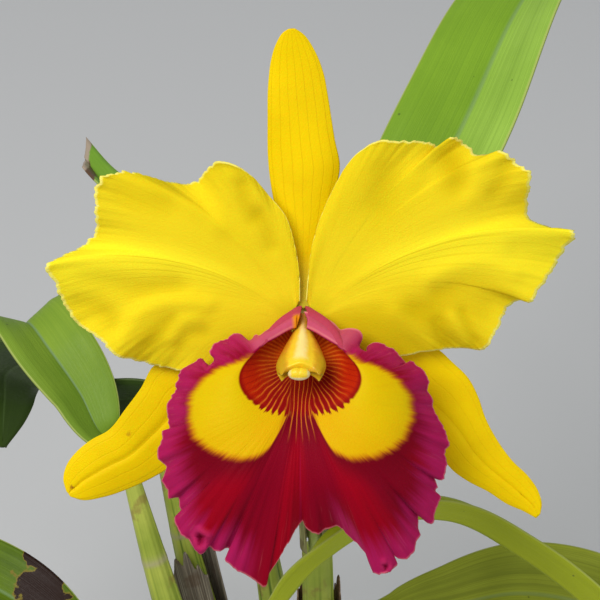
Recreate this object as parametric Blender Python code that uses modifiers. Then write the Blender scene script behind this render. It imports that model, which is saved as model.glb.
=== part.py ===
# A potted cattleya orchid in flower: one open bloom over its pseudobulbs and leaves.
# Metres, +Z up. The origin is the middle of the pot's underside. The bloom faces -Y and up.

import math
import random

import bpy
import bmesh
import numpy as np
from mathutils import Matrix, Vector, noise

MM = 0.001
CLEARANCE = 0.00035
SEED = 11

# Pot and potting mix
POT_HEIGHT = 0.118
POT_BASE_RADIUS = 0.050
POT_TOP_RADIUS = 0.067
POT_WALL = 0.0018
POT_FLOOR = 0.0025
RIM_BAND_HEIGHT = 0.012
RIM_BAND_RADIUS = 0.070
POT_SIDES = 32
DRAIN_HOLES = 8
DRAIN_HOLE_RADIUS = 0.006
MIX_TOP = 0.109
MIX_RELIEF = 0.0022

# Creeping rhizome on the mix, with its roots
RHIZOME_RADIUS = 0.0062
RHIZOME_HEIGHT = 0.1125
BULB_FOOT_HEIGHT = 0.1155
ROOT_RADIUS = 0.0016
ROOT_COUNT = 12
ROOT_REACH = 0.024
ROOT_LIMIT = 0.052
ROOT_TAPER = (1.15, 1.0, 0.95, 0.85, 0.6)
BRANCH_START_RADIUS = 0.0042
BRANCH_TIP_RADIUS = 0.0035
BULB_FOOT_RADIUS = 0.0042
BULB_GROOVES = 6
BULB_GROOVE_DEPTH = 0.045
BULB_BEND = 0.2

# The bloom: where it sits, how far its face is turned up, and its parts' thicknesses
BLOOM_CENTRE = (0.005, 0.045, 0.375)
BLOOM_TILT = math.radians(52.0)
LIP_TILT = math.radians(40.0)
SEPAL_THICKNESS = 1.0
PETAL_THICKNESS = 0.8
LIP_THICKNESS = 0.7
SEPAL_LEVEL = -1.2
PETAL_LEVEL = 0.2
COLUMN_LEVEL = 1.0
COLUMN_LENGTH = 26.0
COLUMN_LEAN = math.radians(22.0)
RECEPTACLE_LEVEL = -2.1

LEAF_THICKNESS = 0.0018
LEAF_BASE_FOLD = 62.0
LEAF_FOLD_LENGTH = 0.22
SHEATH_THICKNESS = 0.0006

# Pseudobulbs: foot on the mix (x, y), top (x, y, z), fullest radius, radius of the top
BULBS = {
    "pseudobulb_flowering": ((0.014, 0.002), (0.010, 0.047, 0.250), 0.0068, 0.0052),
    "pseudobulb_left_front": ((-0.009, 0.001), (-0.058, 0.080, 0.255), 0.0064, 0.0027),
    "pseudobulb_left_back": ((-0.014, 0.034), (-0.046, 0.090, 0.243), 0.0060, 0.0027),
    "pseudobulb_front": ((-0.002, -0.026), (-0.008, 0.022, 0.228), 0.0064, 0.0030),
    "pseudobulb_middle": ((0.004, 0.041), (-0.011, 0.066, 0.250), 0.0060, 0.0029),
    "pseudobulb_right": ((0.026, 0.028), (0.030, 0.050, 0.180), 0.0062, 0.0029),
    "pseudobulb_left_low": ((-0.036, -0.010), (-0.066, 0.028, 0.178), 0.0062, 0.0029),
}

# Rhizome branches, each through the feet of the pseudobulbs that grew from it
RHIZOME_BRANCHES = [
    [(-0.036, 0.026), (-0.014, 0.034), (0.004, 0.041),
     (0.016, 0.036), (0.026, 0.028), (0.036, 0.018)],
    [(0.004, 0.041), (0.012, 0.022), (0.014, 0.002),
     (0.007, -0.014), (-0.002, -0.026), (-0.012, -0.034)],
    [(-0.014, 0.034), (-0.014, 0.018), (-0.009, 0.001),
     (-0.024, -0.006), (-0.036, -0.010), (-0.046, -0.010)],
]

# Leaves: the spine in world metres, half width, fold in degrees, and the way the upper face looks
LEAVES = {
    "leaf_upper_right": {
        "spine": [
            (0.0105, 0.0535, 0.2538), (0.020, 0.082, 0.287), (0.040, 0.122, 0.320),
            (0.0635, 0.166, 0.341), (0.081, 0.206, 0.349), (0.102, 0.250, 0.342),
            (0.115, 0.276, 0.330),
        ],
        "half_width": 0.0245, "fold": 26.0, "faces": (-0.62, -0.64, 0.77),
    },
    "leaf_left": {
        "spine": [
            (-0.0595, 0.0830, 0.2580), (-0.0646, 0.0808, 0.2651), (-0.0735, 0.0941, 0.2728),
            (-0.0847, 0.1084, 0.2790), (-0.0934, 0.1216, 0.2775), (-0.1002, 0.1314, 0.2604),
            (-0.1053, 0.1374, 0.2389),
        ],
        "half_width": 0.0166, "fold": 28.9, "faces": (0.193, -0.104, 0.976),
    },
    "leaf_left_back": {
        "spine": [
            (-0.0470, 0.0925, 0.2460), (-0.0461, 0.1008, 0.2615), (-0.0643, 0.1028, 0.2588),
            (-0.0874, 0.1196, 0.2577), (-0.1071, 0.1310, 0.2392), (-0.1139, 0.1374, 0.2114),
            (-0.1156, 0.1253, 0.1951),
        ],
        "half_width": 0.0149, "fold": 10.3, "faces": (-0.09, -0.989, 0.113),
    },
    "leaf_front": {
        "spine": [
            (-0.0080, 0.0230, 0.2312), (-0.0005, 0.0235, 0.2535), (0.0115, 0.0275, 0.2725),
            (0.030, 0.0355, 0.2810), (0.053, 0.0420, 0.2745), (0.080, 0.0375, 0.2570),
            (0.106, 0.0270, 0.2370), (0.130, 0.0140, 0.2080),
        ],
        "half_width": 0.0115, "fold": 38.0, "faces": (-0.20, 0.70, 0.70),
    },
    "leaf_middle_cut": {
        "spine": [
            (-0.0115, 0.0695, 0.2530), (-0.0261, 0.1012, 0.2730), (-0.0412, 0.1343, 0.2840),
            (-0.0572, 0.1690, 0.2840), (-0.0750, 0.1993, 0.2725), (-0.0889, 0.2286, 0.2642),
        ],
        "half_width": 0.0097, "fold": 35.2, "faces": (0.411, -0.142, 0.900), "cut": True,
        "end_slant": 0.159,
    },
    "leaf_right_low": {
        "spine": [
            (0.0305, 0.0525, 0.1832), (0.042, 0.052, 0.193), (0.060, 0.052, 0.198),
            (0.085, 0.054, 0.203), (0.114, 0.051, 0.198), (0.140, 0.043, 0.184),
            (0.162, 0.034, 0.164),
        ],
        "half_width": 0.0200, "fold": 22.0, "faces": (-0.15, -0.30, 0.95),
    },
    "leaf_left_low": {
        "spine": [
            (-0.0675, 0.0295, 0.1810), (-0.078, 0.037, 0.193), (-0.096, 0.049, 0.201),
            (-0.117, 0.061, 0.202), (-0.140, 0.074, 0.192), (-0.157, 0.084, 0.178),
        ],
        "half_width": 0.0172, "fold": 20.0, "faces": (0.20, -0.30, 0.95),
    },
}
OLD_LEAVES = ("leaf_left_back",)

# Dry papery sheaths left on two pseudobulbs: where they start and end along it, the direction of the
# slit in degrees, and how far they stand off
DRY_SHEATHS = {
    "dry_sheath_flowering": ("pseudobulb_flowering", 0.06, 0.84, 100.0, 1.16),
    "dry_sheath_left": ("pseudobulb_left_back", 0.06, 0.72, 200.0, 1.7),
}

# The bloom's outlines in its own frame, in millimetres: +Y up its face, +Z out of its face.
# Petal margins run from the lower side of the claw round the tip to the upper side.
PETAL_LEFT_MARGIN = [
    (-3.0, -3.5, 0.3), (-9.0, -8.5, 0.5), (-16.5, -13.5, 0.5), (-24.0, -16.0, 1), (-29.5, -15.5, 2),
    (-39.5, -15.0, -2), (-48.0, -12.5, -1), (-52.5, -10.5, 3), (-59.0, -5.0, 0), (-64.5, -2.0, -3),
    (-67.5, 3.5, -2), (-70.0, 10.5, 1), (-72.0, 15.5, 3), (-68.5, 17.5, 0), (-63.0, 19.5, -4),
    (-59.0, 23.5, -2), (-57.5, 29.5, 2), (-57.5, 37.0, 4), (-56.0, 40.5, 5), (-50.5, 42.0, 3),
    (-44.0, 40.5, -1), (-37.5, 38.0, -5), (-33.5, 37.5, -6), (-30.0, 38.5, -5), (-27.0, 42.0, -1),
    (-23.0, 45.0, 3), (-18.5, 44.0, 4), (-14.5, 41.0, 2), (-10.0, 35.5, 0), (-5.0, 29.5, 0.5),
    (-2.3, 21.0, 1), (-1.0, 12.5, 1), (-0.9, 5.0, 0.8),
]
PETAL_RIGHT_MARGIN = [
    (3.5, -4.5, 0.3), (9.0, -8.5, 0.5), (17.0, -11.0, 1), (26.0, -11.0, 1), (36.0, -9.5, 0),
    (46.0, -9.0, -1), (52.0, -8.5, 2), (53.5, -5.5, 3), (56.0, -0.5, 1), (59.0, 3.5, -2),
    (61.5, 5.0, -1), (64.0, 5.0, 2), (68.0, 10.5, 1), (71.5, 15.5, -1), (74.0, 20.5, 0),
    (76.0, 25.0, 3), (72.0, 25.5, 0), (68.5, 25.5, -3), (63.5, 28.5, -5), (63.0, 33.5, -2),
    (63.0, 39.5, 3), (62.5, 42.5, 4), (59.5, 44.0, 3), (56.0, 47.5, 4), (48.0, 46.5, -2),
    (45.0, 49.0, -3), (41.5, 51.5, 0), (38.0, 48.5, -3), (33.5, 50.0, -1), (26.5, 50.5, 3),
    (22.0, 51.0, 4), (15.5, 47.5, 2), (11.5, 42.5, 0.5), (8.5, 37.0, 0.5), (4.8, 28.5, 0.8),
    (2.6, 21.0, 1), (1.5, 12.5, 1), (0.9, 5.0, 0.8),
]
PETAL_LEFT_MIDRIB = math.radians(153.0)
PETAL_RIGHT_MIDRIB = math.radians(26.0)
PETAL_DOME = 4.0
PETAL_CLAW_REACH = 2.2
PETAL_CLAW_WIDTH = 6.0

# Each sepal lies between two edges that run from its claw to its tip.
DORSAL_SEPAL_EDGES = (
    [(-2.0, 2.6), (-3.2, 10), (-5.5, 22), (-8.5, 34), (-9.7, 43), (-9.9, 55.5), (-9.6, 66.5),
     (-8.8, 72.4), (-7.4, 76.8), (-5.4, 79.9), (-4.0, 80.8)],
    [(2.0, 2.6), (3.2, 10), (5.8, 22), (8.8, 34), (10.3, 43), (8.9, 50), (8.0, 55.5),
     (6.9, 62.4), (5.5, 69.2), (3.0, 75.2), (0.0, 79.4), (-2.2, 80.9)],
)
SEPAL_LEFT_EDGES = (
    [(-3.4, -0.9), (-12, -4.5), (-26, -9), (-38, -13), (-43.1, -15.5), (-46.9, -22),
     (-51.3, -28), (-57, -35), (-61.6, -37.5), (-66, -41), (-69, -45), (-70, -49.5),
     (-69.2, -52.4)],
    [(-1.2, -3.6), (-8, -13), (-17, -24), (-27, -35), (-37, -44.6), (-41.4, -47.6), (-50.2, -52),
     (-59, -54.8), (-64.8, -55.4), (-68.0, -54.2)],
)
SEPAL_RIGHT_EDGES = (
    [(3.4, -0.9), (12, -4), (24, -6.5), (33, -8), (38.2, -10), (43.4, -14.6), (47.8, -19),
     (50.9, -24.8), (53, -30.8), (56.9, -38), (61.4, -44), (65.9, -48.4), (68.9, -52.8),
     (70, -57), (69.6, -59.4)],
    [(1.2, -3.6), (8, -13), (18, -25), (30, -37), (41.7, -44.4), (44, -47), (48.5, -50.2), (54.3, -53.2),
     (60.2, -57), (64.6, -58.8), (68.4, -60.8)],
)
SEPAL_DROP = 3.4
SEPAL_HOLLOW = 0.055

# The lip in its own frame, which leans further forward. Rings run round the mouth from top left to
# top right, as (angle from straight down, distance from the mouth's middle, height), in millimetres.
MOUTH_CENTRE = (-0.8, -16.6)
LIP_SLIT = 4.0
LIP_MARGIN = [
    (-180, 18.6, 7), (-166, 17.7, 6.5), (-150, 17, 6.5), (-132, 17.2, 7), (-124, 21.6, 6.5),
    (-110, 26, 5.5), (-104, 25, 9), (-100, 28, 7), (-96, 32, 5), (-87, 35, 5), (-74.5, 38.8, 6),
    (-63, 44.2, 7), (-52.5, 49, 8), (-44, 49, 8), (-40, 53.3, 9), (-29.5, 55, 10), (-27, 51.2, 11),
    (-18.5, 56, 11), (-9.5, 57.4, 12), (-7, 48, 13), (0, 39.2, 14), (7, 42.5, 13), (15, 41.5, 13.5),
    (18, 48.5, 12), (21, 56.9, 11), (25.3, 58.1, 10.5), (28.5, 55, 10.5), (30.5, 56.2, 10),
    (35.7, 57, 9.5), (40.2, 51.5, 9), (43, 54.4, 8.5), (45.2, 53.9, 8.5), (49.6, 51, 8),
    (53.5, 47.8, 8), (64, 45.6, 7), (70, 43, 7.5), (74.7, 39, 7.5), (80.5, 37.5, 6), (87, 36.5, 5),
    (94, 33.6, 5), (98, 31, 6), (107, 26.4, 6.5), (112, 23.2, 7), (115.5, 18.6, 10), (119, 19.2, 8),
    (123, 20.6, 7), (139.5, 18, 6.5), (154, 16, 6.5), (180, 18.4, 7),
]
LIP_CREST = [
    (-180, 14.6, 9), (-150, 13.4, 11), (-120, 14.6, 15), (-90, 16.8, 18.5), (-60, 14, 19),
    (-30, 10.6, 18), (0, 9.6, 16.5), (30, 10.6, 18), (60, 14, 19), (90, 16.8, 18.5),
    (120, 14.6, 15), (150, 13.4, 11), (180, 14.6, 9),
]
LIP_BLADE = [
    (-180, 16.6, 9.5), (-150, 15.2, 10.5), (-120, 17.5, 13), (-90, 26, 15), (-60, 29.5, 19.5),
    (-30, 32, 21.5), (0, 25.5, 20), (30, 32, 21.5), (60, 29.5, 19.5), (90, 26.5, 15),
    (120, 17, 13), (150, 15.2, 10.5), (180, 16.6, 9.5),
]
LIP_PLEAT_DEGREES = 24.0
LIP_PLEAT_HEIGHT = 2.2
LIP_FOOT_RADIUS = 4.4
LIP_FOOT_MIDDLE = -1.2
LIP_TUBE_WIDTH = 10.4
LIP_TUBE_DEPTH = 8.4
LIP_TUBE_MIDDLE = -7.1
LIP_TUBE_HEIGHT = 7.5

GREEN_BULB = (0.42, 0.50, 0.10)
GREEN_LEAF = (0.26, 0.43, 0.09)
GREEN_LEAF_DARK = (0.10, 0.22, 0.05)
YELLOW_PETAL = (0.93, 0.70, 0.04)
YELLOW_SEPAL = (0.92, 0.62, 0.02)
CRIMSON_LIP = (0.45, 0.01, 0.08)
CREAM_COLUMN = (0.93, 0.72, 0.30)
DRY_PAPER = (0.42, 0.34, 0.24)


# Objects, collections and materials

def clear_scene():
    for obj in list(bpy.data.objects):
        bpy.data.objects.remove(obj, do_unlink=True)


def new_collection(name):
    collection = bpy.data.collections.new(name)
    bpy.context.scene.collection.children.link(collection)
    return collection


def new_material(name, colour, roughness, metallic=0.0):
    material = bpy.data.materials.new(name)
    material.use_nodes = True
    shader = material.node_tree.nodes["Principled BSDF"]
    shader.inputs["Base Color"].default_value = (*colour, 1.0)
    shader.inputs["Roughness"].default_value = roughness
    shader.inputs["Metallic"].default_value = metallic
    material.diffuse_color = (*colour, 1.0)
    return material


def new_object(name, data, collection, parent=None):
    obj = bpy.data.objects.new(name, data)
    collection.objects.link(obj)
    obj.parent = parent
    return obj


def finish(obj, material, sharp_degrees=40.0):
    obj.data.materials.clear()
    obj.data.materials.append(material)
    if obj.type == "MESH":
        obj.data.shade_smooth()
        obj.data.set_sharp_from_angle(angle=math.radians(sharp_degrees))


# Curves and shapes that follow a rule

def smooth_through(points, stops=None):
    """A function of t that passes smoothly through the points, at their stops or evenly in length."""
    knots = np.array(points, float)
    if stops is None:
        lengths = np.linalg.norm(np.diff(knots, axis=0), axis=1)
        stops = np.concatenate([[0.0], np.cumsum(lengths)]) / lengths.sum()
    stops = np.array(stops, float)
    slopes = np.gradient(knots, stops, axis=0)

    def at(t):
        index = int(np.clip(np.searchsorted(stops, t) - 1, 0, len(stops) - 2))
        span = stops[index + 1] - stops[index]
        s = (t - stops[index]) / span
        value = knots[index] * (1 + 2 * s) * (1 - s) ** 2
        value = value + knots[index + 1] * s * s * (3 - 2 * s)
        value = value + slopes[index] * span * s * (1 - s) ** 2
        return value - slopes[index + 1] * span * s * s * (1 - s)

    return at


def blade_mesh(name, surface, columns, rows):
    """A sheet whose grid of points, u and v from 0 to 1, is carried onto surface(u, v)."""
    bm = bmesh.new()
    bmesh.ops.create_grid(bm, x_segments=columns, y_segments=rows, size=0.5)
    for vert in bm.verts:
        vert.co = Vector(surface(vert.co.x + 0.5, vert.co.y + 0.5))
    bmesh.ops.triangulate(bm, faces=bm.faces, quad_method="SHORT_EDGE")
    mesh = bpy.data.meshes.new(name)
    bm.to_mesh(mesh)
    bm.free()
    return mesh


def add_blade(name, surface, columns, rows, thickness, material, collection, parent=None):
    obj = new_object(name, blade_mesh(name, surface, columns, rows), collection, parent)
    solidify = obj.modifiers.new("thickness", "SOLIDIFY")
    solidify.thickness = thickness
    solidify.offset = 0.0
    solidify.use_even_offset = False
    finish(obj, material)
    return obj


def body_mesh(name, sides, rings, shape):
    """A closed body: a sphere's rings are carried onto shape(t, angle, reach), reach 0 at the ends."""
    bm = bmesh.new()
    bmesh.ops.create_uvsphere(bm, u_segments=sides, v_segments=rings, radius=1.0)
    for vert in bm.verts:
        ring = round(math.acos(max(-1.0, min(1.0, -vert.co.z))) / math.pi * rings)
        reach = 0.0 if ring in (0, rings) else 1.0
        along = min(max((ring - 1) / (rings - 2), 0.0), 1.0)
        angle = math.atan2(vert.co.y, vert.co.x)
        vert.co = Vector(shape(along, angle, reach))
    bm.normal_update()
    bmesh.ops.recalc_face_normals(bm, faces=bm.faces)
    mesh = bpy.data.meshes.new(name)
    bm.to_mesh(mesh)
    bm.free()
    return mesh


def tube(name, points, radii, collection, parent=None, sides_setting=2):
    """A curve with filled caps, one radius for each point."""
    curve = bpy.data.curves.new(name, "CURVE")
    curve.dimensions = "3D"
    curve.bevel_depth = 1.0
    curve.bevel_resolution = sides_setting
    curve.use_fill_caps = True
    spline = curve.splines.new("POLY")
    spline.points.add(len(points) - 1)
    for point, place, radius in zip(spline.points, points, radii):
        point.co = (*place, 1.0)
        point.radius = radius
    return new_object(name, curve, collection, parent)


def to_mesh(obj):
    """Turns an object, with its modifiers, into a plain mesh object of the same name."""
    graph = bpy.context.evaluated_depsgraph_get()
    mesh = bpy.data.meshes.new_from_object(obj.evaluated_get(graph))
    bm = bmesh.new()
    bm.from_mesh(mesh)
    bmesh.ops.remove_doubles(bm, verts=bm.verts, dist=1e-6)
    bm.normal_update()
    bmesh.ops.recalc_face_normals(bm, faces=bm.faces)
    bm.to_mesh(mesh)
    bm.free()
    name, home, parent, place = obj.name, obj.users_collection[0], obj.parent, obj.matrix_world.copy()
    bpy.data.objects.remove(obj, do_unlink=True)
    solid = new_object(name, mesh, home, parent)
    solid.matrix_world = place
    return solid


def cut_with(obj, cutter):
    cut = obj.modifiers.new("cut " + cutter.name, "BOOLEAN")
    cut.operation = "DIFFERENCE"
    cut.object = cutter


def hide_cutter(obj):
    obj.hide_render = True
    obj.display_type = "WIRE"


def turned(name, profile, collection, sides):
    """A profile of (radius, height) points turned about the Z axis."""
    mesh = bpy.data.meshes.new(name)
    edges = [(i, i + 1) for i in range(len(profile) - 1)]
    mesh.from_pydata([(radius, 0.0, height) for radius, height in profile], edges, [])
    obj = new_object(name, mesh, collection)
    screw = obj.modifiers.new("turn", "SCREW")
    screw.steps = sides
    screw.render_steps = sides
    screw.use_merge_vertices = True
    screw.merge_threshold = 0.0001
    return obj


# The pot and what fills it

def wall_radius(height):
    """The pot's outer radius below the rim band."""
    return POT_BASE_RADIUS + (POT_TOP_RADIUS - POT_BASE_RADIUS) * height / POT_HEIGHT


def build_pot(parts, cutters):
    band_foot = POT_HEIGHT - RIM_BAND_HEIGHT
    profile = [
        (0.0, POT_FLOOR),
        (wall_radius(POT_FLOOR) - POT_WALL, POT_FLOOR),
        (wall_radius(band_foot) - POT_WALL, band_foot),
        (RIM_BAND_RADIUS - POT_WALL, POT_HEIGHT - 0.0015),
        (RIM_BAND_RADIUS - 0.0004, POT_HEIGHT),
        (RIM_BAND_RADIUS, POT_HEIGHT - 0.0008),
        (RIM_BAND_RADIUS, band_foot - 0.001),
        (wall_radius(band_foot), band_foot - 0.001),
        (wall_radius(0.0) + 0.0006, 0.0012),
        (wall_radius(0.0) - 0.0006, 0.0),
        (0.0, 0.0),
    ]
    pot = turned("pot", profile, parts, POT_SIDES)
    hole_depth = 0.016
    for number in range(DRAIN_HOLES):
        angle = 2 * math.pi * (number + 0.5) / DRAIN_HOLES
        bpy.ops.mesh.primitive_cylinder_add(vertices=12, radius=DRAIN_HOLE_RADIUS, depth=hole_depth)
        cutter = bpy.context.object
        cutter.name = "drain_hole_%d" % number
        cutter.matrix_world = (
            Matrix.Rotation(angle, 4, "Z")
            @ Matrix.Translation((POT_BASE_RADIUS + 0.001, 0.0, 0.0028))
            @ Matrix.Rotation(math.radians(90.0), 4, "Y")
        )
        for home in list(cutter.users_collection):
            home.objects.unlink(cutter)
        cutters.objects.link(cutter)
        hide_cutter(cutter)
        cut_with(pot, cutter)
    finish(pot, new_material("pot_plastic", (0.035, 0.04, 0.045), 0.45))


def build_mix(parts):
    foot = POT_FLOOR + CLEARANCE
    gap = POT_WALL + CLEARANCE
    top_radius = wall_radius(MIX_TOP) - gap
    profile = [
        (0.0, MIX_TOP),
        (0.017, MIX_TOP),
        (0.034, MIX_TOP),
        (0.050, MIX_TOP),
        (top_radius - 0.0015, MIX_TOP - 0.0005),
        (wall_radius(MIX_TOP - 0.006) - gap, MIX_TOP - 0.006),
        (wall_radius(foot) - gap, foot),
        (0.0, foot),
    ]
    mix = to_mesh(turned("potting_mix", profile, parts, POT_SIDES))
    for vert in mix.data.vertices:
        inner = math.hypot(vert.co.x, vert.co.y) < 0.055
        if inner and vert.co.z > MIX_TOP - 0.003:
            vert.co.z += MIX_RELIEF * noise.noise(vert.co * 90.0)
    finish(mix, new_material("coconut_husk", (0.20, 0.075, 0.03), 0.95), 60.0)
    return mix


# The rhizome, its roots and the pseudobulbs

def rhizome_route(branch):
    """Points along a branch, close enough together for its thick and thin stretches."""
    route = smooth_through(branch)
    count = 2 * (len(branch) - 1)
    points = []
    for step in range(count + 1):
        x, y = route(step / count)
        points.append((x, y, RHIZOME_HEIGHT))
    return points


def root_routes():
    """Each root leaves a branch sideways, runs over the mix and turns down into it."""
    rng = random.Random(SEED)
    routes = []
    for number in range(ROOT_COUNT):
        branch = RHIZOME_BRANCHES[number % len(RHIZOME_BRANCHES)]
        x, y = smooth_through(branch)(rng.uniform(0.08, 0.92))
        outward = math.atan2(y, x) + rng.uniform(-0.9, 0.9)
        reach = min(ROOT_REACH * rng.uniform(0.6, 1.0), ROOT_LIMIT - math.hypot(x, y))
        points = []
        for share, height in ((0.0, 0.0), (0.35, 0.001), (0.7, -0.001), (0.95, -0.006), (1.05, -0.014)):
            heading = outward + 0.5 * share * math.sin(number * 2.1)
            points.append((
                x + reach * share * math.cos(heading),
                y + reach * share * math.sin(heading),
                RHIZOME_HEIGHT + height,
            ))
        routes.append(points)
    return routes


def lengthened(points, extra):
    """The same route, longer by extra at both ends."""
    first, second = Vector(points[0]), Vector(points[1])
    last, before = Vector(points[-1]), Vector(points[-2])
    start = first + (first - second).normalized() * extra
    end = last + (last - before).normalized() * extra
    return [start, *points[1:-1], end]


def build_rhizome_pieces(collection, extra):
    """Tubes for the branches and the roots, each fatter and longer by extra."""
    pieces = []
    for number, branch in enumerate(RHIZOME_BRANCHES):
        points = lengthened(rhizome_route(branch), extra)
        radii = [RHIZOME_RADIUS * (1.06 if i % 2 == 0 else 0.94) + extra for i in range(len(points))]
        radii[0] = BRANCH_START_RADIUS + extra
        radii[-1] = BRANCH_TIP_RADIUS + extra
        pieces.append(to_mesh(tube("branch_%d" % number, points, radii, collection)))
    for number, route in enumerate(root_routes()):
        points = lengthened(route, extra)
        radii = [ROOT_RADIUS * size + extra for size in ROOT_TAPER]
        root = tube("root_%d" % number, points, radii, collection, sides_setting=0)
        pieces.append(to_mesh(root))
    return pieces


def joined(name, pieces, source, collection, material):
    """One solid from the pieces in the source collection, which are removed."""
    first = pieces[0]
    source.objects.unlink(first)
    collection.objects.link(first)
    union = first.modifiers.new("join", "BOOLEAN")
    union.operation = "UNION"
    union.operand_type = "COLLECTION"
    union.collection = source
    solid = to_mesh(first)
    solid.name = name
    for piece in pieces[1:]:
        bpy.data.objects.remove(piece, do_unlink=True)
    finish(solid, material)
    return solid


def bulb_shape(foot, top, full, end, extra=0.0):
    """A pseudobulb: slender at the foot, fullest past the middle, grooved, and bent a little."""
    start = Vector((*foot, BULB_FOOT_HEIGHT))
    axis = Vector(top) - start
    bend = Vector((0.0, -BULB_BEND * axis.y, 0.0))
    side = axis.cross(Vector((0.0, 1.0, 0.0))).normalized()
    front = side.cross(axis).normalized()
    widths = [BULB_FOOT_RADIUS, BULB_FOOT_RADIUS * 1.1, full * 0.88, full, full * 0.84, end]
    width = smooth_through([[value] for value in widths], [0.0, 0.08, 0.26, 0.44, 0.70, 1.0])

    def shape(t, angle, reach):
        centre = start + axis * t + bend * math.sin(math.pi * t)
        groove = 1.0 + BULB_GROOVE_DEPTH * math.cos(BULB_GROOVES * angle) * math.sin(math.pi * t)
        radius = reach * (float(width(t)[0]) * groove + extra)
        lengthen = (t - 0.5) * 2.0 * (extra + (1.0 - reach) * 0.0006)
        flat = 0.88 if t > 0.25 else 1.0
        return centre + axis.normalized() * lengthen + side * radius * math.cos(angle) \
            + front * radius * flat * math.sin(angle)

    return shape


def build_bulbs(parts, cutters, rhizome):
    colour = new_material("pseudobulb_skin", GREEN_BULB, 0.45)
    for name, (foot, top, full, end) in BULBS.items():
        mesh = body_mesh(name, 12, 9, bulb_shape(foot, top, full, end))
        finish(new_object(name, mesh, parts), colour)
        mesh = body_mesh("socket_" + name, 12, 9, bulb_shape(foot, top, full, end, CLEARANCE))
        socket = new_object("socket_" + name, mesh, cutters)
        hide_cutter(socket)
        cut_with(rhizome, socket)


def build_dry_sheaths(parts):
    colour = new_material("dry_sheath_paper", DRY_PAPER, 0.85)
    opening = math.radians(50.0)
    for name, (bulb, low, high, slit, spread) in DRY_SHEATHS.items():
        wrap = bulb_shape(*BULBS[bulb], 0.0012)

        def surface(u, v, wrap=wrap, low=low, high=high, slit=slit, spread=spread):
            angle = math.radians(slit) + opening / 2 + u * (2 * math.pi - opening)
            ragged = 0.04 * math.sin(9 * u) + 0.03 * math.sin(23 * u + slit)
            t = low + (high - low) * v * (1.0 + ragged * v)
            flare = 1.0 + (spread - 1.0) * v * v
            centre = Vector(wrap(t, angle, 0.0))
            return centre + (Vector(wrap(t, angle, 1.0)) - centre) * flare

        add_blade(name, surface, 14, 5, SHEATH_THICKNESS, colour, parts)


# Leaves

def leaf_surface(leaf):
    """A folded strap along the spine; u runs across it and v from its base to its end, square or slanted."""
    route = smooth_through(leaf["spine"])
    faces = Vector(leaf["faces"])
    half = leaf["half_width"]
    cut = leaf.get("cut", False)
    taper = (0.74, 0.62) if cut else (0.58, 0.07)
    slant = leaf.get("end_slant", 0.0)
    share = smooth_through([[0.15], [0.26], [0.68], [0.98], [1.0], [0.88], [taper[0]], [taper[1]]],
                           [0.0, 0.05, 0.20, 0.42, 0.60, 0.80, 0.93, 1.0])

    def surface(u, v):
        step = 0.01
        across = 2 * u - 1
        v = v * (1.0 - slant * (1.0 - across) / 2)
        here = Vector(route(v))
        along = Vector(route(min(v + step, 1.0))) - Vector(route(max(v - step, 0.0)))
        side = along.cross(faces).normalized()
        up = side.cross(along).normalized()
        closed = max(0.0, 1.0 - v / LEAF_FOLD_LENGTH) ** 1.5
        fold = leaf["fold"] + (LEAF_BASE_FOLD - leaf["fold"]) * closed
        slope = math.radians(fold)
        reach = half * float(share(v)[0])
        out = reach * across * math.cos(slope)
        lift = reach * abs(across) * math.sin(slope)
        return here + side * out + up * lift

    return surface


def build_leaves(parts):
    light = new_material("leaf_skin", GREEN_LEAF, 0.4)
    dark = new_material("old_leaf_skin", GREEN_LEAF_DARK, 0.45)
    for name, leaf in LEAVES.items():
        skin = dark if name in OLD_LEAVES else light
        add_blade(name, leaf_surface(leaf), 4, 12, LEAF_THICKNESS, skin, parts)


# The bloom

def build_petal(name, margin, claw_x, midrib, material, parts, bloom):
    """Veins fan from the claw: each leaves near the midrib's heading and bends out to the margin."""
    route = smooth_through(margin)

    def surface(u, v):
        edge = route(u)
        claw = np.array([claw_x, PETAL_CLAW_WIDTH * (u - 0.5), PETAL_LEVEL])
        span = edge - claw
        heading = math.atan2(span[1], span[0])
        turn = (heading - midrib + math.pi) % (2 * math.pi) - math.pi
        lean = midrib + 0.62 * turn
        length = math.hypot(span[0], span[1])
        bend = claw + 0.55 * length * np.array([math.cos(lean), math.sin(lean), 0.0])
        place = claw * (1 - v) ** 2 + bend * 2 * v * (1 - v) + edge * v * v
        rise = PETAL_DOME * 4 * v * v * (1 - v) * math.sqrt(max(0.0, math.sin(math.pi * u)))
        place[2] = PETAL_LEVEL * (1 - v) + edge[2] * v ** 3 + rise
        return place * MM

    return add_blade(name, surface, 34, 8, PETAL_THICKNESS * MM, material, parts, bloom)


def build_sepal(name, edges, material, parts, bloom):
    """A strap between two edges, hollowed a little along its middle and falling back from the claw."""
    first = smooth_through(edges[0])
    second = smooth_through(edges[1])

    def surface(u, v):
        a, b = first(v), second(v)
        flat = a * (1 - u) + b * u
        width = np.linalg.norm(b - a)
        middle = 1 - (2 * u - 1) ** 2
        drop = math.sin(math.pi * 0.85 * v) ** 0.8 * min(v * 6, 1.0)
        z = SEPAL_LEVEL - SEPAL_DROP * drop + SEPAL_HOLLOW * width * (middle - 1.0) * min(v * 4, 1.0)
        return np.array([flat[0], flat[1], z]) * MM

    return add_blade(name, surface, 8, 12, SEPAL_THICKNESS * MM, material, parts, bloom)


def lip_ring(ring):
    """A ring given by angle, distance and height, as a function of angle."""
    at = smooth_through([point[1:] for point in ring], [point[0] for point in ring])

    def place(angle):
        distance, height = at(angle)
        turn = math.radians(angle)
        return np.array([
            MOUTH_CENTRE[0] + distance * math.sin(turn),
            MOUTH_CENTRE[1] - distance * math.cos(turn),
            height,
        ])

    return place


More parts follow.
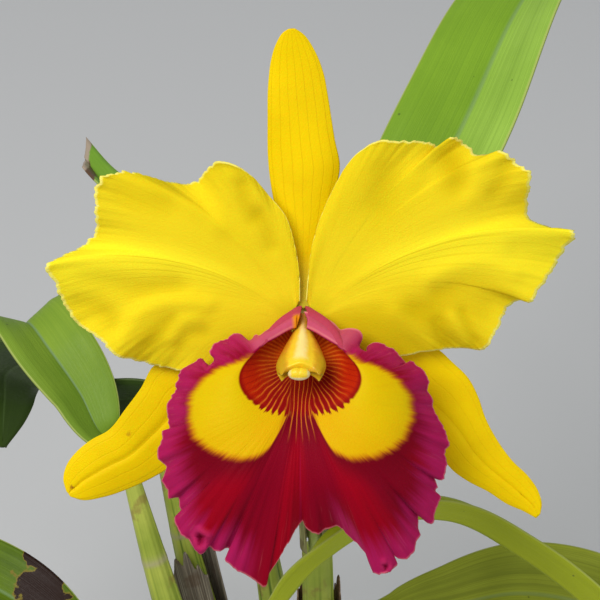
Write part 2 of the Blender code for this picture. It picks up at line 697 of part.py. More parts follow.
def lip_foot(angle):
    """Where the lip starts, close round the foot of the column and level with it."""
    turn = math.radians(angle)
    y = LIP_FOOT_MIDDLE - LIP_FOOT_RADIUS * math.cos(turn)
    slope = math.tan(BLOOM_TILT - LIP_TILT)
    return np.array([LIP_FOOT_RADIUS * math.sin(turn), y, 1.45 + slope * y])


def lip_tube(angle):
    """Half way up the tube that the lip makes round the column."""
    turn = math.radians(angle)
    height = 1.5 * math.sin(turn) ** 2 - 1.2 * math.cos(turn) - 1.2 * math.sin(turn / 2) ** 4
    return np.array([
        LIP_TUBE_WIDTH * math.sin(turn),
        LIP_TUBE_MIDDLE - LIP_TUBE_DEPTH * math.cos(turn),
        LIP_TUBE_HEIGHT + height,
    ])


def build_lip(material, parts, lip_frame):
    margin = lip_ring(LIP_MARGIN)
    crest = lip_ring(LIP_CREST)
    blade = lip_ring(LIP_BLADE)
    stops = [0.0, 0.22, 0.46, 0.74, 1.0]

    def surface(u, v):
        spread = 2 * u - 1
        angle = (180.0 - LIP_SLIT) * (0.55 * spread + 0.45 * spread ** 3)
        rings = [lip_foot(angle), lip_tube(angle), crest(angle), blade(angle), margin(angle)]
        place = smooth_through(rings, stops)(v)
        open_part = max(0.0, (v - stops[2]) / (1.0 - stops[2])) ** 1.5
        lower_half = max(0.0, math.cos(math.radians(angle * 0.62))) ** 2
        pleat = math.cos(math.radians(angle * 360.0 / LIP_PLEAT_DEGREES + 40.0))
        place[2] += LIP_PLEAT_HEIGHT * pleat * open_part * lower_half
        return place * MM

    return add_blade("lip", surface, 50, 9, LIP_THICKNESS * MM, material, parts, lip_frame)


def column_frame():
    """The column's directions in the bloom's frame: along it, and up its back."""
    along = Vector((0.0, -math.sin(COLUMN_LEAN), math.cos(COLUMN_LEAN)))
    back = Vector((0.0, math.cos(COLUMN_LEAN), math.sin(COLUMN_LEAN)))
    return along, back


def build_column(parts, bloom):
    """Round-backed, with a raised middle ridge and two wings that end in teeth beside the tip."""
    along, back = column_frame()
    start = Vector((0.0, 0.0, COLUMN_LEVEL))
    width = smooth_through([[2.4], [2.9], [3.6], [5.4], [6.4]], [0.0, 0.25, 0.55, 0.85, 1.0])
    depth = smooth_through([[2.2], [2.4], [2.6], [2.7], [2.2]], [0.0, 0.25, 0.55, 0.85, 1.0])
    tooth_length = 2.6

    def shape(t, angle, reach):
        across = math.cos(angle)
        raised = math.sin(angle)
        half = reach * float(width(t)[0])
        thick = reach * float(depth(t)[0])
        wing = abs(across) ** 3
        lift = thick * (raised if raised > 0.0 else 0.45 * raised) - 0.8 * wing * t * reach
        tooth = tooth_length * wing * reach * max(0.0, (t - 0.8) / 0.2)
        length = COLUMN_LENGTH * t + tooth + (0.4 * (2 * t - 1) if reach == 0.0 else 0.0)
        return (start + along * length + Vector((1.0, 0.0, 0.0)) * half * across + back * lift) * MM

    column = new_object("column", body_mesh("column", 16, 12, shape), parts, bloom)
    finish(column, new_material("column_flesh", CREAM_COLUMN, 0.4))


def build_anther_cap(parts, bloom):
    along, back = column_frame()
    centre = Vector((0.0, 0.0, COLUMN_LEVEL)) + along * (COLUMN_LENGTH + 2.3) + back * 0.6

    def shape(t, angle, reach):
        height = 2 * t - 1
        round_off = math.sqrt(max(0.0, 1.0 - 0.85 * height * height))
        place = centre + along * 1.4 * (height if reach else 1.15 * height)
        side = Vector((1.0, 0.0, 0.0)) * 3.1 * round_off * math.cos(angle) * reach
        return (place + side + back * 1.8 * round_off * math.sin(angle) * reach) * MM

    cap = new_object("anther_cap", body_mesh("anther_cap", 10, 8, shape), parts, bloom)
    finish(cap, new_material("anther_cap_flesh", (0.95, 0.85, 0.45), 0.35))


def stalk_centre(t):
    """The stalk from the top of its pseudobulb up to the back of the bloom."""
    back = Vector((0.0, math.sin(BLOOM_TILT), -math.cos(BLOOM_TILT)))
    bloom = Vector(BLOOM_CENTRE)
    top = bloom - back * RECEPTACLE_LEVEL * MM
    points = [
        (0.0095, 0.0430, 0.2518), (0.0085, 0.0440, 0.275), (0.0068, 0.0495, 0.305),
        (0.0055, 0.0590, 0.332), bloom + back * 0.020, bloom + back * 0.009, top,
    ]
    return Vector(smooth_through(points)(t))


def build_stalk(parts):
    count = 13
    points = [stalk_centre(i / count) for i in range(count + 1)]
    width = smooth_through([[2.4], [2.2], [2.3], [3.2], [3.0], [3.6]], [0.0, 0.3, 0.66, 0.84, 0.93, 1.0])
    radii = [float(width(i / count)[0]) * MM for i in range(count + 1)]
    stalk = tube("flower_stalk", points, radii, parts)
    finish(stalk, new_material("stalk_skin", (0.48, 0.56, 0.18), 0.45))


def build_flower_sheath(parts):
    """A papery sheath, split down its front, that stands round the foot of the stalk."""
    opening = math.radians(70.0)

    def surface(u, v):
        point_up = 0.07 * (1.0 - abs(2 * u - 1)) * v * v
        centre = stalk_centre(0.025 + 0.38 * v + point_up)
        angle = math.radians(-90.0) + opening / 2 + u * (2 * math.pi - opening)
        closing = 1.0 - 0.2 * v
        return centre + Vector((math.cos(angle) * 0.0050, math.sin(angle) * 0.0040, 0.0)) * closing

    add_blade("flower_sheath", surface, 12, 5, SHEATH_THICKNESS,
              new_material("flower_sheath_paper", (0.46, 0.50, 0.20), 0.7), parts)


def build_bloom(parts):
    bloom = new_object("bloom_frame", None, parts)
    bloom.location = BLOOM_CENTRE
    bloom.rotation_euler = (BLOOM_TILT, 0.0, 0.0)
    lip_frame = new_object("lip_frame", None, parts, bloom)
    lip_frame.rotation_euler = (LIP_TILT - BLOOM_TILT, 0.0, 0.0)

    sepal_colour = new_material("sepal_flesh", YELLOW_SEPAL, 0.5)
    build_sepal("dorsal_sepal", DORSAL_SEPAL_EDGES, sepal_colour, parts, bloom)
    build_sepal("sepal_left", SEPAL_LEFT_EDGES, sepal_colour, parts, bloom)
    build_sepal("sepal_right", SEPAL_RIGHT_EDGES, sepal_colour, parts, bloom)

    petal_colour = new_material("petal_flesh", YELLOW_PETAL, 0.5)
    build_petal("petal_left", PETAL_LEFT_MARGIN, -PETAL_CLAW_REACH, PETAL_LEFT_MIDRIB,
                petal_colour, parts, bloom)
    build_petal("petal_right", PETAL_RIGHT_MARGIN, PETAL_CLAW_REACH, PETAL_RIGHT_MIDRIB,
                petal_colour, parts, bloom)

    build_lip(new_material("lip_flesh", CRIMSON_LIP, 0.5), parts, lip_frame)
    build_column(parts, bloom)
    build_anther_cap(parts, bloom)


def main():
    clear_scene()
    parts = new_collection("cattleya_orchid")
    cutters = new_collection("cutters")
    build_pot(parts, cutters)
    mix = build_mix(parts)

    bark = new_material("rhizome_skin", (0.30, 0.32, 0.12), 0.7)
    pieces = build_rhizome_pieces(cutters, 0.0)
    source = new_collection("rhizome_pieces")
    for piece in pieces:
        cutters.objects.unlink(piece)
        source.objects.link(piece)
    rhizome = joined("rhizome", pieces, source, parts, bark)
    bpy.data.collections.remove(source)

    for piece in build_rhizome_pieces(cutters, CLEARANCE):
        hide_cutter(piece)
        cut_with(mix, piece)

    build_bulbs(parts, cutters, rhizome)
    build_dry_sheaths(parts)
    build_leaves(parts)
    build_stalk(parts)
    build_flower_sheath(parts)
    build_bloom(parts)


main()
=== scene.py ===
import math
import random

import bpy
import numpy as np
from mathutils import Matrix, Vector, noise


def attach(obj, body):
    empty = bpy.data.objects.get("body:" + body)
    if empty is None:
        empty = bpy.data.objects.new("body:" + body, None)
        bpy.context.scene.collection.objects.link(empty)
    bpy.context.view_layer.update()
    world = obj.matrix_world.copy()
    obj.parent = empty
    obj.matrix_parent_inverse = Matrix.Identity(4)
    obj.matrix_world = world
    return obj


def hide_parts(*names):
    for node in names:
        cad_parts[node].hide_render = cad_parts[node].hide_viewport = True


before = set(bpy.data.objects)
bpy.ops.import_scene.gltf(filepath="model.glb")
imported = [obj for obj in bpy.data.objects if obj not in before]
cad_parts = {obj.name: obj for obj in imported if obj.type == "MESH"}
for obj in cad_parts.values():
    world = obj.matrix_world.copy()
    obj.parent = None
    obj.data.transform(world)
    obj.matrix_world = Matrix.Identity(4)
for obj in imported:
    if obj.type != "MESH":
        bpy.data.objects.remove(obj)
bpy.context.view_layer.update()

mm = 0.001


# Curves and grids of points

def curveThrough(points, stops=None):  # passes smoothly through the points
    knots = np.array(points, float)
    if stops is None:
        lengths = np.linalg.norm(np.diff(knots, axis=0), axis=1)
        stops = np.concatenate([[0.0], np.cumsum(lengths)]) / lengths.sum()
    stops = np.array(stops, float)
    slopes = np.gradient(knots, stops, axis=0)

    def at(t):
        t = np.asarray(t, float)
        index = np.clip(np.searchsorted(stops, t) - 1, 0, len(stops) - 2)
        shape = t.shape + (1,) * (knots.ndim - 1)
        span = (stops[index + 1] - stops[index]).reshape(shape)
        s = (t - stops[index]).reshape(shape) / span
        value = knots[index] * (1 + 2 * s) * (1 - s) ** 2 + knots[index + 1] * s * s * (3 - 2 * s)
        return value + slopes[index] * span * s * (1 - s) ** 2 - slopes[index + 1] * span * s * s * (1 - s)

    return at


def levels(values, stops):  # a smooth run of single numbers
    run = curveThrough([[value] for value in values], stops)
    return lambda t: run(t)[..., 0]


def unit(vectors):
    return vectors / np.maximum(np.linalg.norm(vectors, axis=-1, keepdims=True), 1e-12)


def smoothRise(value, low, high):
    s = np.clip((value - low) / (high - low), 0.0, 1.0)
    return s * s * (3 - 2 * s)


def rough(points, scale, seed=0.0):  # smooth noise from -1 to 1 at each point of a list
    flat = np.asarray(points, float).reshape(-1, 3) * scale + seed
    values = np.array([noise.noise(Vector(p)) for p in flat])
    return values.reshape(np.asarray(points).shape[:-1])


def roughLine(values, scale, seed=0.0):  # the same along one number
    flat = np.asarray(values, float).ravel() * scale
    return np.array([noise.noise(Vector((value, seed, 0.37))) for value in flat]).reshape(np.shape(values))


def spread(values, width):  # a running mean
    edge = np.pad(values, width, mode="edge")
    return np.convolve(edge, np.ones(2 * width + 1) / (2 * width + 1), "valid")


def inFrame(matrix, points):  # from a frame of the bloom, in millimetres, to the world in metres
    m = np.array(matrix)
    return points * mm @ m[:3, :3].T + m[:3, 3]


def meshFrom(name, verts, faces, fields, uvs):
    mesh = bpy.data.meshes.new(name)
    mesh.vertices.add(len(verts))
    mesh.vertices.foreach_set("co", np.asarray(verts, np.float32).ravel())
    sizes = np.array([len(face) for group in faces for face in group], np.int32)
    corners = np.concatenate([np.asarray(group, np.int32).ravel() for group in faces])
    mesh.loops.add(len(corners))
    mesh.loops.foreach_set("vertex_index", corners)
    mesh.polygons.add(len(sizes))
    mesh.polygons.foreach_set("loop_start", np.concatenate([[0], np.cumsum(sizes)[:-1]]).astype(np.int32))
    layer = mesh.uv_layers.new(name="UVMap")
    layer.data.foreach_set("uv", np.asarray(uvs, np.float32)[corners].ravel())
    for label, values in fields.items():
        field = mesh.attributes.new(label, "FLOAT", "POINT")
        field.data.foreach_set("value", np.asarray(values, np.float32).ravel())
    mesh.update(calc_edges=True)
    mesh.validate()
    obj = bpy.data.objects.new(name, mesh)
    bpy.context.scene.collection.objects.link(obj)
    return obj


def sheetPiece(name, grid, thickness, fields=None):  # a closed blade round a grid, front side up the normal
    rows, columns = grid.shape[:2]
    normal = unit(np.cross(np.gradient(grid, axis=1), np.gradient(grid, axis=0)))
    half = np.broadcast_to(thickness, (rows, columns))[..., None] / 2
    verts = np.concatenate([(grid + normal * half).reshape(-1, 3), (grid - normal * half).reshape(-1, 3)])
    count = rows * columns
    index = np.arange(count).reshape(rows, columns)
    a, b, c, d = index[:-1, :-1], index[:-1, 1:], index[1:, 1:], index[1:, :-1]
    front = np.stack([a, b, c, d], axis=-1).reshape(-1, 4)
    back = front[:, ::-1] + count
    border = np.concatenate([index[0, :-1], index[:-1, -1], index[-1, :0:-1], index[:0:-1, 0]])
    after = np.roll(border, -1)
    rim = np.stack([after, border, border + count, after + count], axis=-1)
    v, u = np.meshgrid(np.linspace(0, 1, rows), np.linspace(0, 1, columns), indexing="ij")
    uvs = np.tile(np.stack([u, v], axis=-1).reshape(-1, 2), (2, 1))
    both = {"across": u, "along": v, **(fields or {})}
    wide = {label: np.broadcast_to(values, (rows, columns)).ravel() for label, values in both.items()}
    both = {label: np.tile(values, 2) for label, values in wide.items()}
    both["back"] = np.repeat([0.0, 1.0], count)
    return meshFrom(name, verts, [front, back, rim], both, uvs)


def bodyPiece(name, grid, fields=None):  # a closed body from rings of points, with both ends closed
    rows, columns = grid.shape[:2]
    ends = np.stack([grid[0].mean(axis=0), grid[-1].mean(axis=0)])
    verts = np.concatenate([grid.reshape(-1, 3), ends])
    index = np.arange(rows * columns).reshape(rows, columns)
    after = np.roll(index, -1, axis=1)
    sides = np.stack([index[:-1], after[:-1], after[1:], index[1:]], axis=-1).reshape(-1, 4)
    foot = np.stack([np.full(columns, rows * columns), after[0], index[0]], axis=-1)
    top = np.stack([np.full(columns, rows * columns + 1), index[-1], after[-1]], axis=-1)
    v, u = np.meshgrid(np.linspace(0, 1, rows), np.arange(columns) / columns, indexing="ij")
    uvs = np.concatenate([np.stack([u, v], axis=-1).reshape(-1, 2), [[0.5, 0.0], [0.5, 1.0]]])
    turn = 2 * math.pi * u
    given = {"along": v, "turnX": np.cos(turn), **(fields or {})}
    wide = {label: np.broadcast_to(values, (rows, columns)) for label, values in given.items()}
    whole = {label: np.append(values.ravel(), values[[0, -1], 0]) for label, values in wide.items()}
    piece = meshFrom(name, verts, [sides, foot, top], whole, uvs)
    middle = grid.mean(axis=1, keepdims=True)
    outward = (np.cross(np.roll(grid, -1, 1) - grid, np.gradient(grid, axis=0)) * (grid - middle)).sum()
    if outward < 0:
        piece.data.flip_normals()
    return piece


def tubeGrid(path, radius, columns, firstSide=(1.0, 0.0, 0.0)):  # rings square to a path of points
    along = unit(np.gradient(path, axis=0))
    side = unit(np.cross(along, np.cross(np.array(firstSide), along)))
    up = np.cross(along, side)
    turn = np.linspace(0, 2 * math.pi, columns, endpoint=False)
    radius = np.broadcast_to(radius, (len(path), columns))[..., None]
    ring = side[:, None] * np.cos(turn)[None, :, None] + up[:, None] * np.sin(turn)[None, :, None]
    return path[:, None] + ring * radius


def claim(piece, node):
    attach(piece, "root")
    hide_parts(node)


def dress(piece, node, skin):
    piece.data.materials.append(skin)
    piece.data.shade_smooth()
    claim(piece, node)


# Materials: a small kit, the shared effects, and one function for each finish

class Painter:
    def __init__(self, tree):
        self.tree = tree
        self.fields = {}

    def add(self, kind, inputs=None, **settings):
        node = self.tree.nodes.new(kind)
        for key, value in settings.items():
            setattr(node, key, value)
        for name, value in (inputs or {}).items():
            self.join(value, node.inputs[name])
        return node

    def join(self, value, socket):
        if isinstance(value, bpy.types.NodeSocket):
            self.tree.links.new(value, socket)
        elif isinstance(value, tuple) and socket.type == "RGBA":
            socket.default_value = (*value, 1.0)
        else:
            socket.default_value = value

    def calc(self, operation, a, b=0.0, c=0.0, clamp=False):
        return self.add("ShaderNodeMath", {0: a, 1: b, 2: c}, operation=operation, use_clamp=clamp).outputs[0]

    def times(self, a, b):
        return self.calc("MULTIPLY", a, b)

    def timesPlus(self, a, b, c):
        return self.calc("MULTIPLY_ADD", a, b, c)

    def less(self, a, b):
        return self.calc("SUBTRACT", a, b)

    def most(self, a, b):
        return self.calc("MAXIMUM", a, b)

    def positive(self, a):
        return self.calc("ABSOLUTE", a)

    def rise(self, value, low, high):  # 0 to 1, smoothly, as the value goes from low to high
        inputs = {"Value": value, "From Min": low, "From Max": high}
        return self.add("ShaderNodeMapRange", inputs, interpolation_type="SMOOTHSTEP").outputs[0]

    def mix(self, factor, first, second, how="MIX"):
        node = self.add("ShaderNodeMix", None, data_type="RGBA", blend_type=how)
        self.join(factor, node.inputs[0])
        self.join(first, node.inputs[6])
        self.join(second, node.inputs[7])
        return node.outputs[2]

    def distance(self, spot):  # from a place given in the object's own frame
        inputs = {0: self.add("ShaderNodeTexCoord").outputs["Object"], 1: spot}
        return self.add("ShaderNodeVectorMath", inputs, operation="DISTANCE").outputs["Value"]

    def field(self, name):  # one node, however often it is asked for
        if name not in self.fields:
            self.fields[name] = self.add("ShaderNodeAttribute", attribute_name=name).outputs["Fac"]
        return self.fields[name]

    def effect(self, tree, inputs):
        node = self.add("ShaderNodeGroup", None, node_tree=tree)
        for name, value in inputs.items():
            self.join(value, node.inputs[name])
        return node.outputs[0]

    def mottle(self, scale, low, high, detail=3.0, seed=0.0):
        return self.effect(mottle, {"Scale": scale, "Detail": detail, "Seed": seed, "Low": low, "High": high})

    def streaks(self, count, stretch, low, high, seed=0.0):
        return self.effect(streaks, {
            "Across": self.field("across"), "Along": self.field("along"), "Count": count,
            "Stretch": stretch, "Seed": seed, "Low": low, "High": high})


def newEffect(name, defaults):
    tree = bpy.data.node_groups.new(name, "ShaderNodeTree")
    for label, value in defaults.items():
        tree.interface.new_socket(label, in_out="INPUT", socket_type="NodeSocketFloat").default_value = value
    tree.interface.new_socket("Mask", in_out="OUTPUT", socket_type="NodeSocketFloat")
    paint = Painter(tree)
    return tree, paint, paint.add("NodeGroupInput").outputs, paint.add("NodeGroupOutput").inputs


def buildStreaks():  # long fine streaks that run along a surface, for veins, fibres and feathered borders
    tree, paint, given, result = newEffect("streaks", {
        "Across": 0.0, "Along": 0.0, "Count": 60.0, "Stretch": 2.0, "Seed": 0.0, "Low": 0.4, "High": 0.6})
    across = paint.times(given["Across"], given["Count"])
    along = paint.times(given["Along"], given["Stretch"])
    place = paint.add("ShaderNodeCombineXYZ", {0: across, 1: along, 2: given["Seed"]}).outputs[0]
    grain = paint.add("ShaderNodeTexNoise", {"Vector": place, "Scale": 1.0, "Detail": 2.0}).outputs[0]
    paint.join(paint.rise(grain, given["Low"], given["High"]), result[0])
    return tree


def buildMottle():  # soft uneven patches, read from the object's own place
    tree, paint, given, result = newEffect("mottle", {
        "Scale": 100.0, "Detail": 3.0, "Seed": 0.0, "Low": 0.4, "High": 0.6})
    place = paint.add("ShaderNodeTexCoord").outputs["Object"]
    cloud = paint.add("ShaderNodeTexNoise", {
        "Vector": place, "W": given["Seed"], "Scale": given["Scale"], "Detail": given["Detail"],
    }, noise_dimensions="4D").outputs[0]
    paint.join(paint.rise(cloud, given["Low"], given["High"]), result[0])
    return tree


def buildSpecks():  # scattered small round specks
    tree, paint, given, result = newEffect("specks", {"Scale": 300.0, "Size": 0.2, "Share": 0.5})
    place = paint.add("ShaderNodeTexCoord").outputs["Object"]
    cells = paint.add("ShaderNodeTexVoronoi", {"Vector": place, "Scale": given["Scale"]})
    near = paint.rise(cells.outputs["Distance"], given["Size"], paint.times(given["Size"], 0.5))
    tint = paint.add("ShaderNodeSeparateColor", {0: cells.outputs["Color"]}).outputs[0]
    chosen = paint.calc("LESS_THAN", tint, given["Share"])
    paint.join(paint.times(near, chosen), result[0])
    return tree


streaks = buildStreaks()
mottle = buildMottle()
specks = buildSpecks()


def newSkin(name, **shaderValues):
    material = bpy.data.materials.new(name)
    material.use_nodes = True
    shader = material.node_tree.nodes["Principled BSDF"]
    for label, value in shaderValues.items():
        shader.inputs[label.replace("_", " ")].default_value = value
    return material, Painter(material.node_tree), shader


def finishSkin(paint, shader, colour, roughness, height, strength, distance):
    paint.join(colour, shader.inputs["Base Color"])
    paint.join(roughness, shader.inputs["Roughness"])
    bump = paint.add("ShaderNodeBump", {"Height": height, "Strength": strength, "Distance": distance})
    paint.join(bump.outputs[0], shader.inputs["Normal"])


petalLook = {
    "bright": (0.93, 0.71, 0.018),
    "dull": (0.76, 0.57, 0.007),
    "rib": (1.0, 0.83, 0.024),
    # hollow: painted shade, a deeper yellow in the petals' hollows and on the lower part that faces away from
    # the light
    "hollow": (0.52, 0.36, 0.001),
    "vein": (0.66, 0.44, 0.001),
    "claw": (0.70, 0.60, 0.010),
    "edge": (1.0, 0.90, 0.22),
    "back": (0.86, 0.68, 0.06),
    "lines": ((0.0, 0.9), (0.035, 0.55), (0.075, 0.6), (0.125, 0.5), (0.175, 0.3), (0.240, 0.3),
              (-0.05, 0.15)),  # each vein's turn away from the rib, and its depth
}


def petalSkin():
    material, paint, shader = newSkin("petal_flesh", Subsurface_Weight=0.10, Subsurface_Scale=0.0025,
                                      Specular_IOR_Level=0.0)
    along, fan = paint.field("along"), paint.field("fan")
    rib = paint.positive(fan)
    patches = paint.mottle(45.0, 0.35, 0.7)
    outward = paint.times(paint.rise(rib, 0.10, 0.55), paint.rise(along, 0.15, 0.6))
    dull = paint.timesPlus(patches, 0.20, paint.times(outward, 0.40))
    colour = paint.mix(dull, petalLook["bright"], petalLook["dull"])
    # painted shade in the hollows and on the shaded lower part of the petal
    colour = paint.mix(paint.times(paint.field("hollow"), 0.6), colour, petalLook["hollow"])
    ribGlow = paint.times(paint.rise(rib, 0.26, 0.02), paint.rise(along, 0.12, 0.5))
    colour = paint.mix(paint.times(ribGlow, 0.8), colour, petalLook["rib"])
    fine = paint.streaks(260.0, 3.0, 0.56, 0.66)
    colour = paint.mix(paint.times(fine, 0.08), colour, petalLook["vein"])
    wander = paint.mottle(60.0, 0.0, 1.0, detail=1.0, seed=21.0)
    bent = paint.timesPlus(wander, 0.010, fan)
    veins = None
    for turn, depth in petalLook["lines"]:
        away = paint.positive(paint.less(bent, turn + 0.005))
        line = paint.times(paint.rise(away, 0.0080, 0.0010), depth)
        veins = line if veins is None else paint.most(veins, line)
    reach = paint.times(paint.rise(along, 0.10, 0.30), paint.rise(along, 0.90, 0.60))
    veins = paint.times(veins, reach)
    colour = paint.mix(paint.times(veins, 0.35), colour, petalLook["vein"])
    colour = paint.mix(paint.times(paint.rise(along, 0.14, 0.04), 0.6), colour, petalLook["claw"])
    colour = paint.mix(paint.times(paint.rise(along, 0.984, 0.996), 0.8), colour, petalLook["edge"])
    colour = paint.mix(paint.times(paint.field("back"), 0.6), colour, petalLook["back"])
    grain = paint.mottle(2600.0, 0.3, 0.7, detail=1.0)
    height = paint.timesPlus(fine, -0.3, paint.times(grain, 0.5))
    height = paint.timesPlus(veins, -1.0, height)
    roughness = paint.timesPlus(grain, 0.15, 0.45)
    finishSkin(paint, shader, colour, roughness, height, 0.35, 0.0003)
    return material


sepalLook = {
    "bright": (0.92, 0.64, 0.001),
    "dull": (0.80, 0.54, 0.001),
    "vein": (0.62, 0.37, 0.001),
    "foot": (0.62, 0.56, 0.05),
    "blemish": (0.30, 0.06, 0.01),
}


def sepalSkin(name, veinCount, veinDepth, marks):  # marks: where a blemish is, how wide, and how strong
    material, paint, shader = newSkin(name, Subsurface_Weight=0.10, Subsurface_Scale=0.0025,
                                      Specular_IOR_Level=0.05)
    across, along = paint.field("across"), paint.field("along")
    patches = paint.mottle(70.0, 0.35, 0.7, seed=3.0)
    colour = paint.mix(paint.times(patches, 0.6), sepalLook["bright"], sepalLook["dull"])
    wobble = paint.mottle(90.0, 0.0, 1.0, seed=5.0)
    phase = paint.timesPlus(across, veinCount, paint.times(wobble, 0.16))
    line = paint.positive(paint.less(paint.calc("FRACT", phase), 0.5))
    lines = paint.rise(line, 0.09, 0.0)
    colour = paint.mix(paint.times(lines, veinDepth), colour, sepalLook["vein"])
    colour = paint.mix(paint.times(paint.rise(along, 0.20, 0.04), 0.7), colour, sepalLook["foot"])
    grain = paint.mottle(2600.0, 0.3, 0.7, detail=1.0)
    for spot, width, strength in marks:
        away = paint.distance(spot)
        ragged = paint.mottle(900.0, 0.2, 0.8, seed=9.0)
        reach = paint.timesPlus(ragged, width * 0.9, away)
        mark = paint.times(paint.rise(reach, width * 1.5, width * 0.6), strength)
        colour = paint.mix(mark, colour, sepalLook["blemish"])
    height = paint.timesPlus(lines, -0.6, paint.times(grain, 0.4))
    finishSkin(paint, shader, colour, paint.timesPlus(grain, 0.12, 0.4), height, 0.35, 0.0003)
    return material


lipLook = {
    "crimson": (0.23, 0.0003, 0.012),
    "dark": (0.15, 0.0002, 0.0065),
    "red": (0.36, 0.0002, 0.009),
    "magenta": (0.42, 0.010, 0.095),
    "edge": (0.76, 0.22, 0.24),
    "eye": (0.71, 0.50, 0.0005),
    "eyeDeep": (0.76, 0.39, 0.0005),
    "eyeRim": (0.52, 0.14, 0.002),
    # throat: the throat's own orange-red, painted brighter to lift the shade it lies in (painted light)
    "throat": (0.85, 0.13, 0.005),
    "throatOuter": (0.46, 0.018, 0.0010),
    "throatRim": (0.26, 0.002, 0.001),
    # throatLow: the lower throat's own dark crimson, with painted shade deep in the throat
    "throatLow": (0.25, 0.002, 0.005),
    "throatVein": (0.84, 0.24, 0.015),
    "fold": (0.55, 0.080, 0.150),
    "sliver": (0.78, 0.26, 0.006),
    # curl: a painted highlight round the rim of each rolled curl
    "curl": (0.50, 0.022, 0.115),
    "sheen": (1.0, 0.2, 0.45, 1.0),
    "back": (0.50, 0.06, 0.12),
}


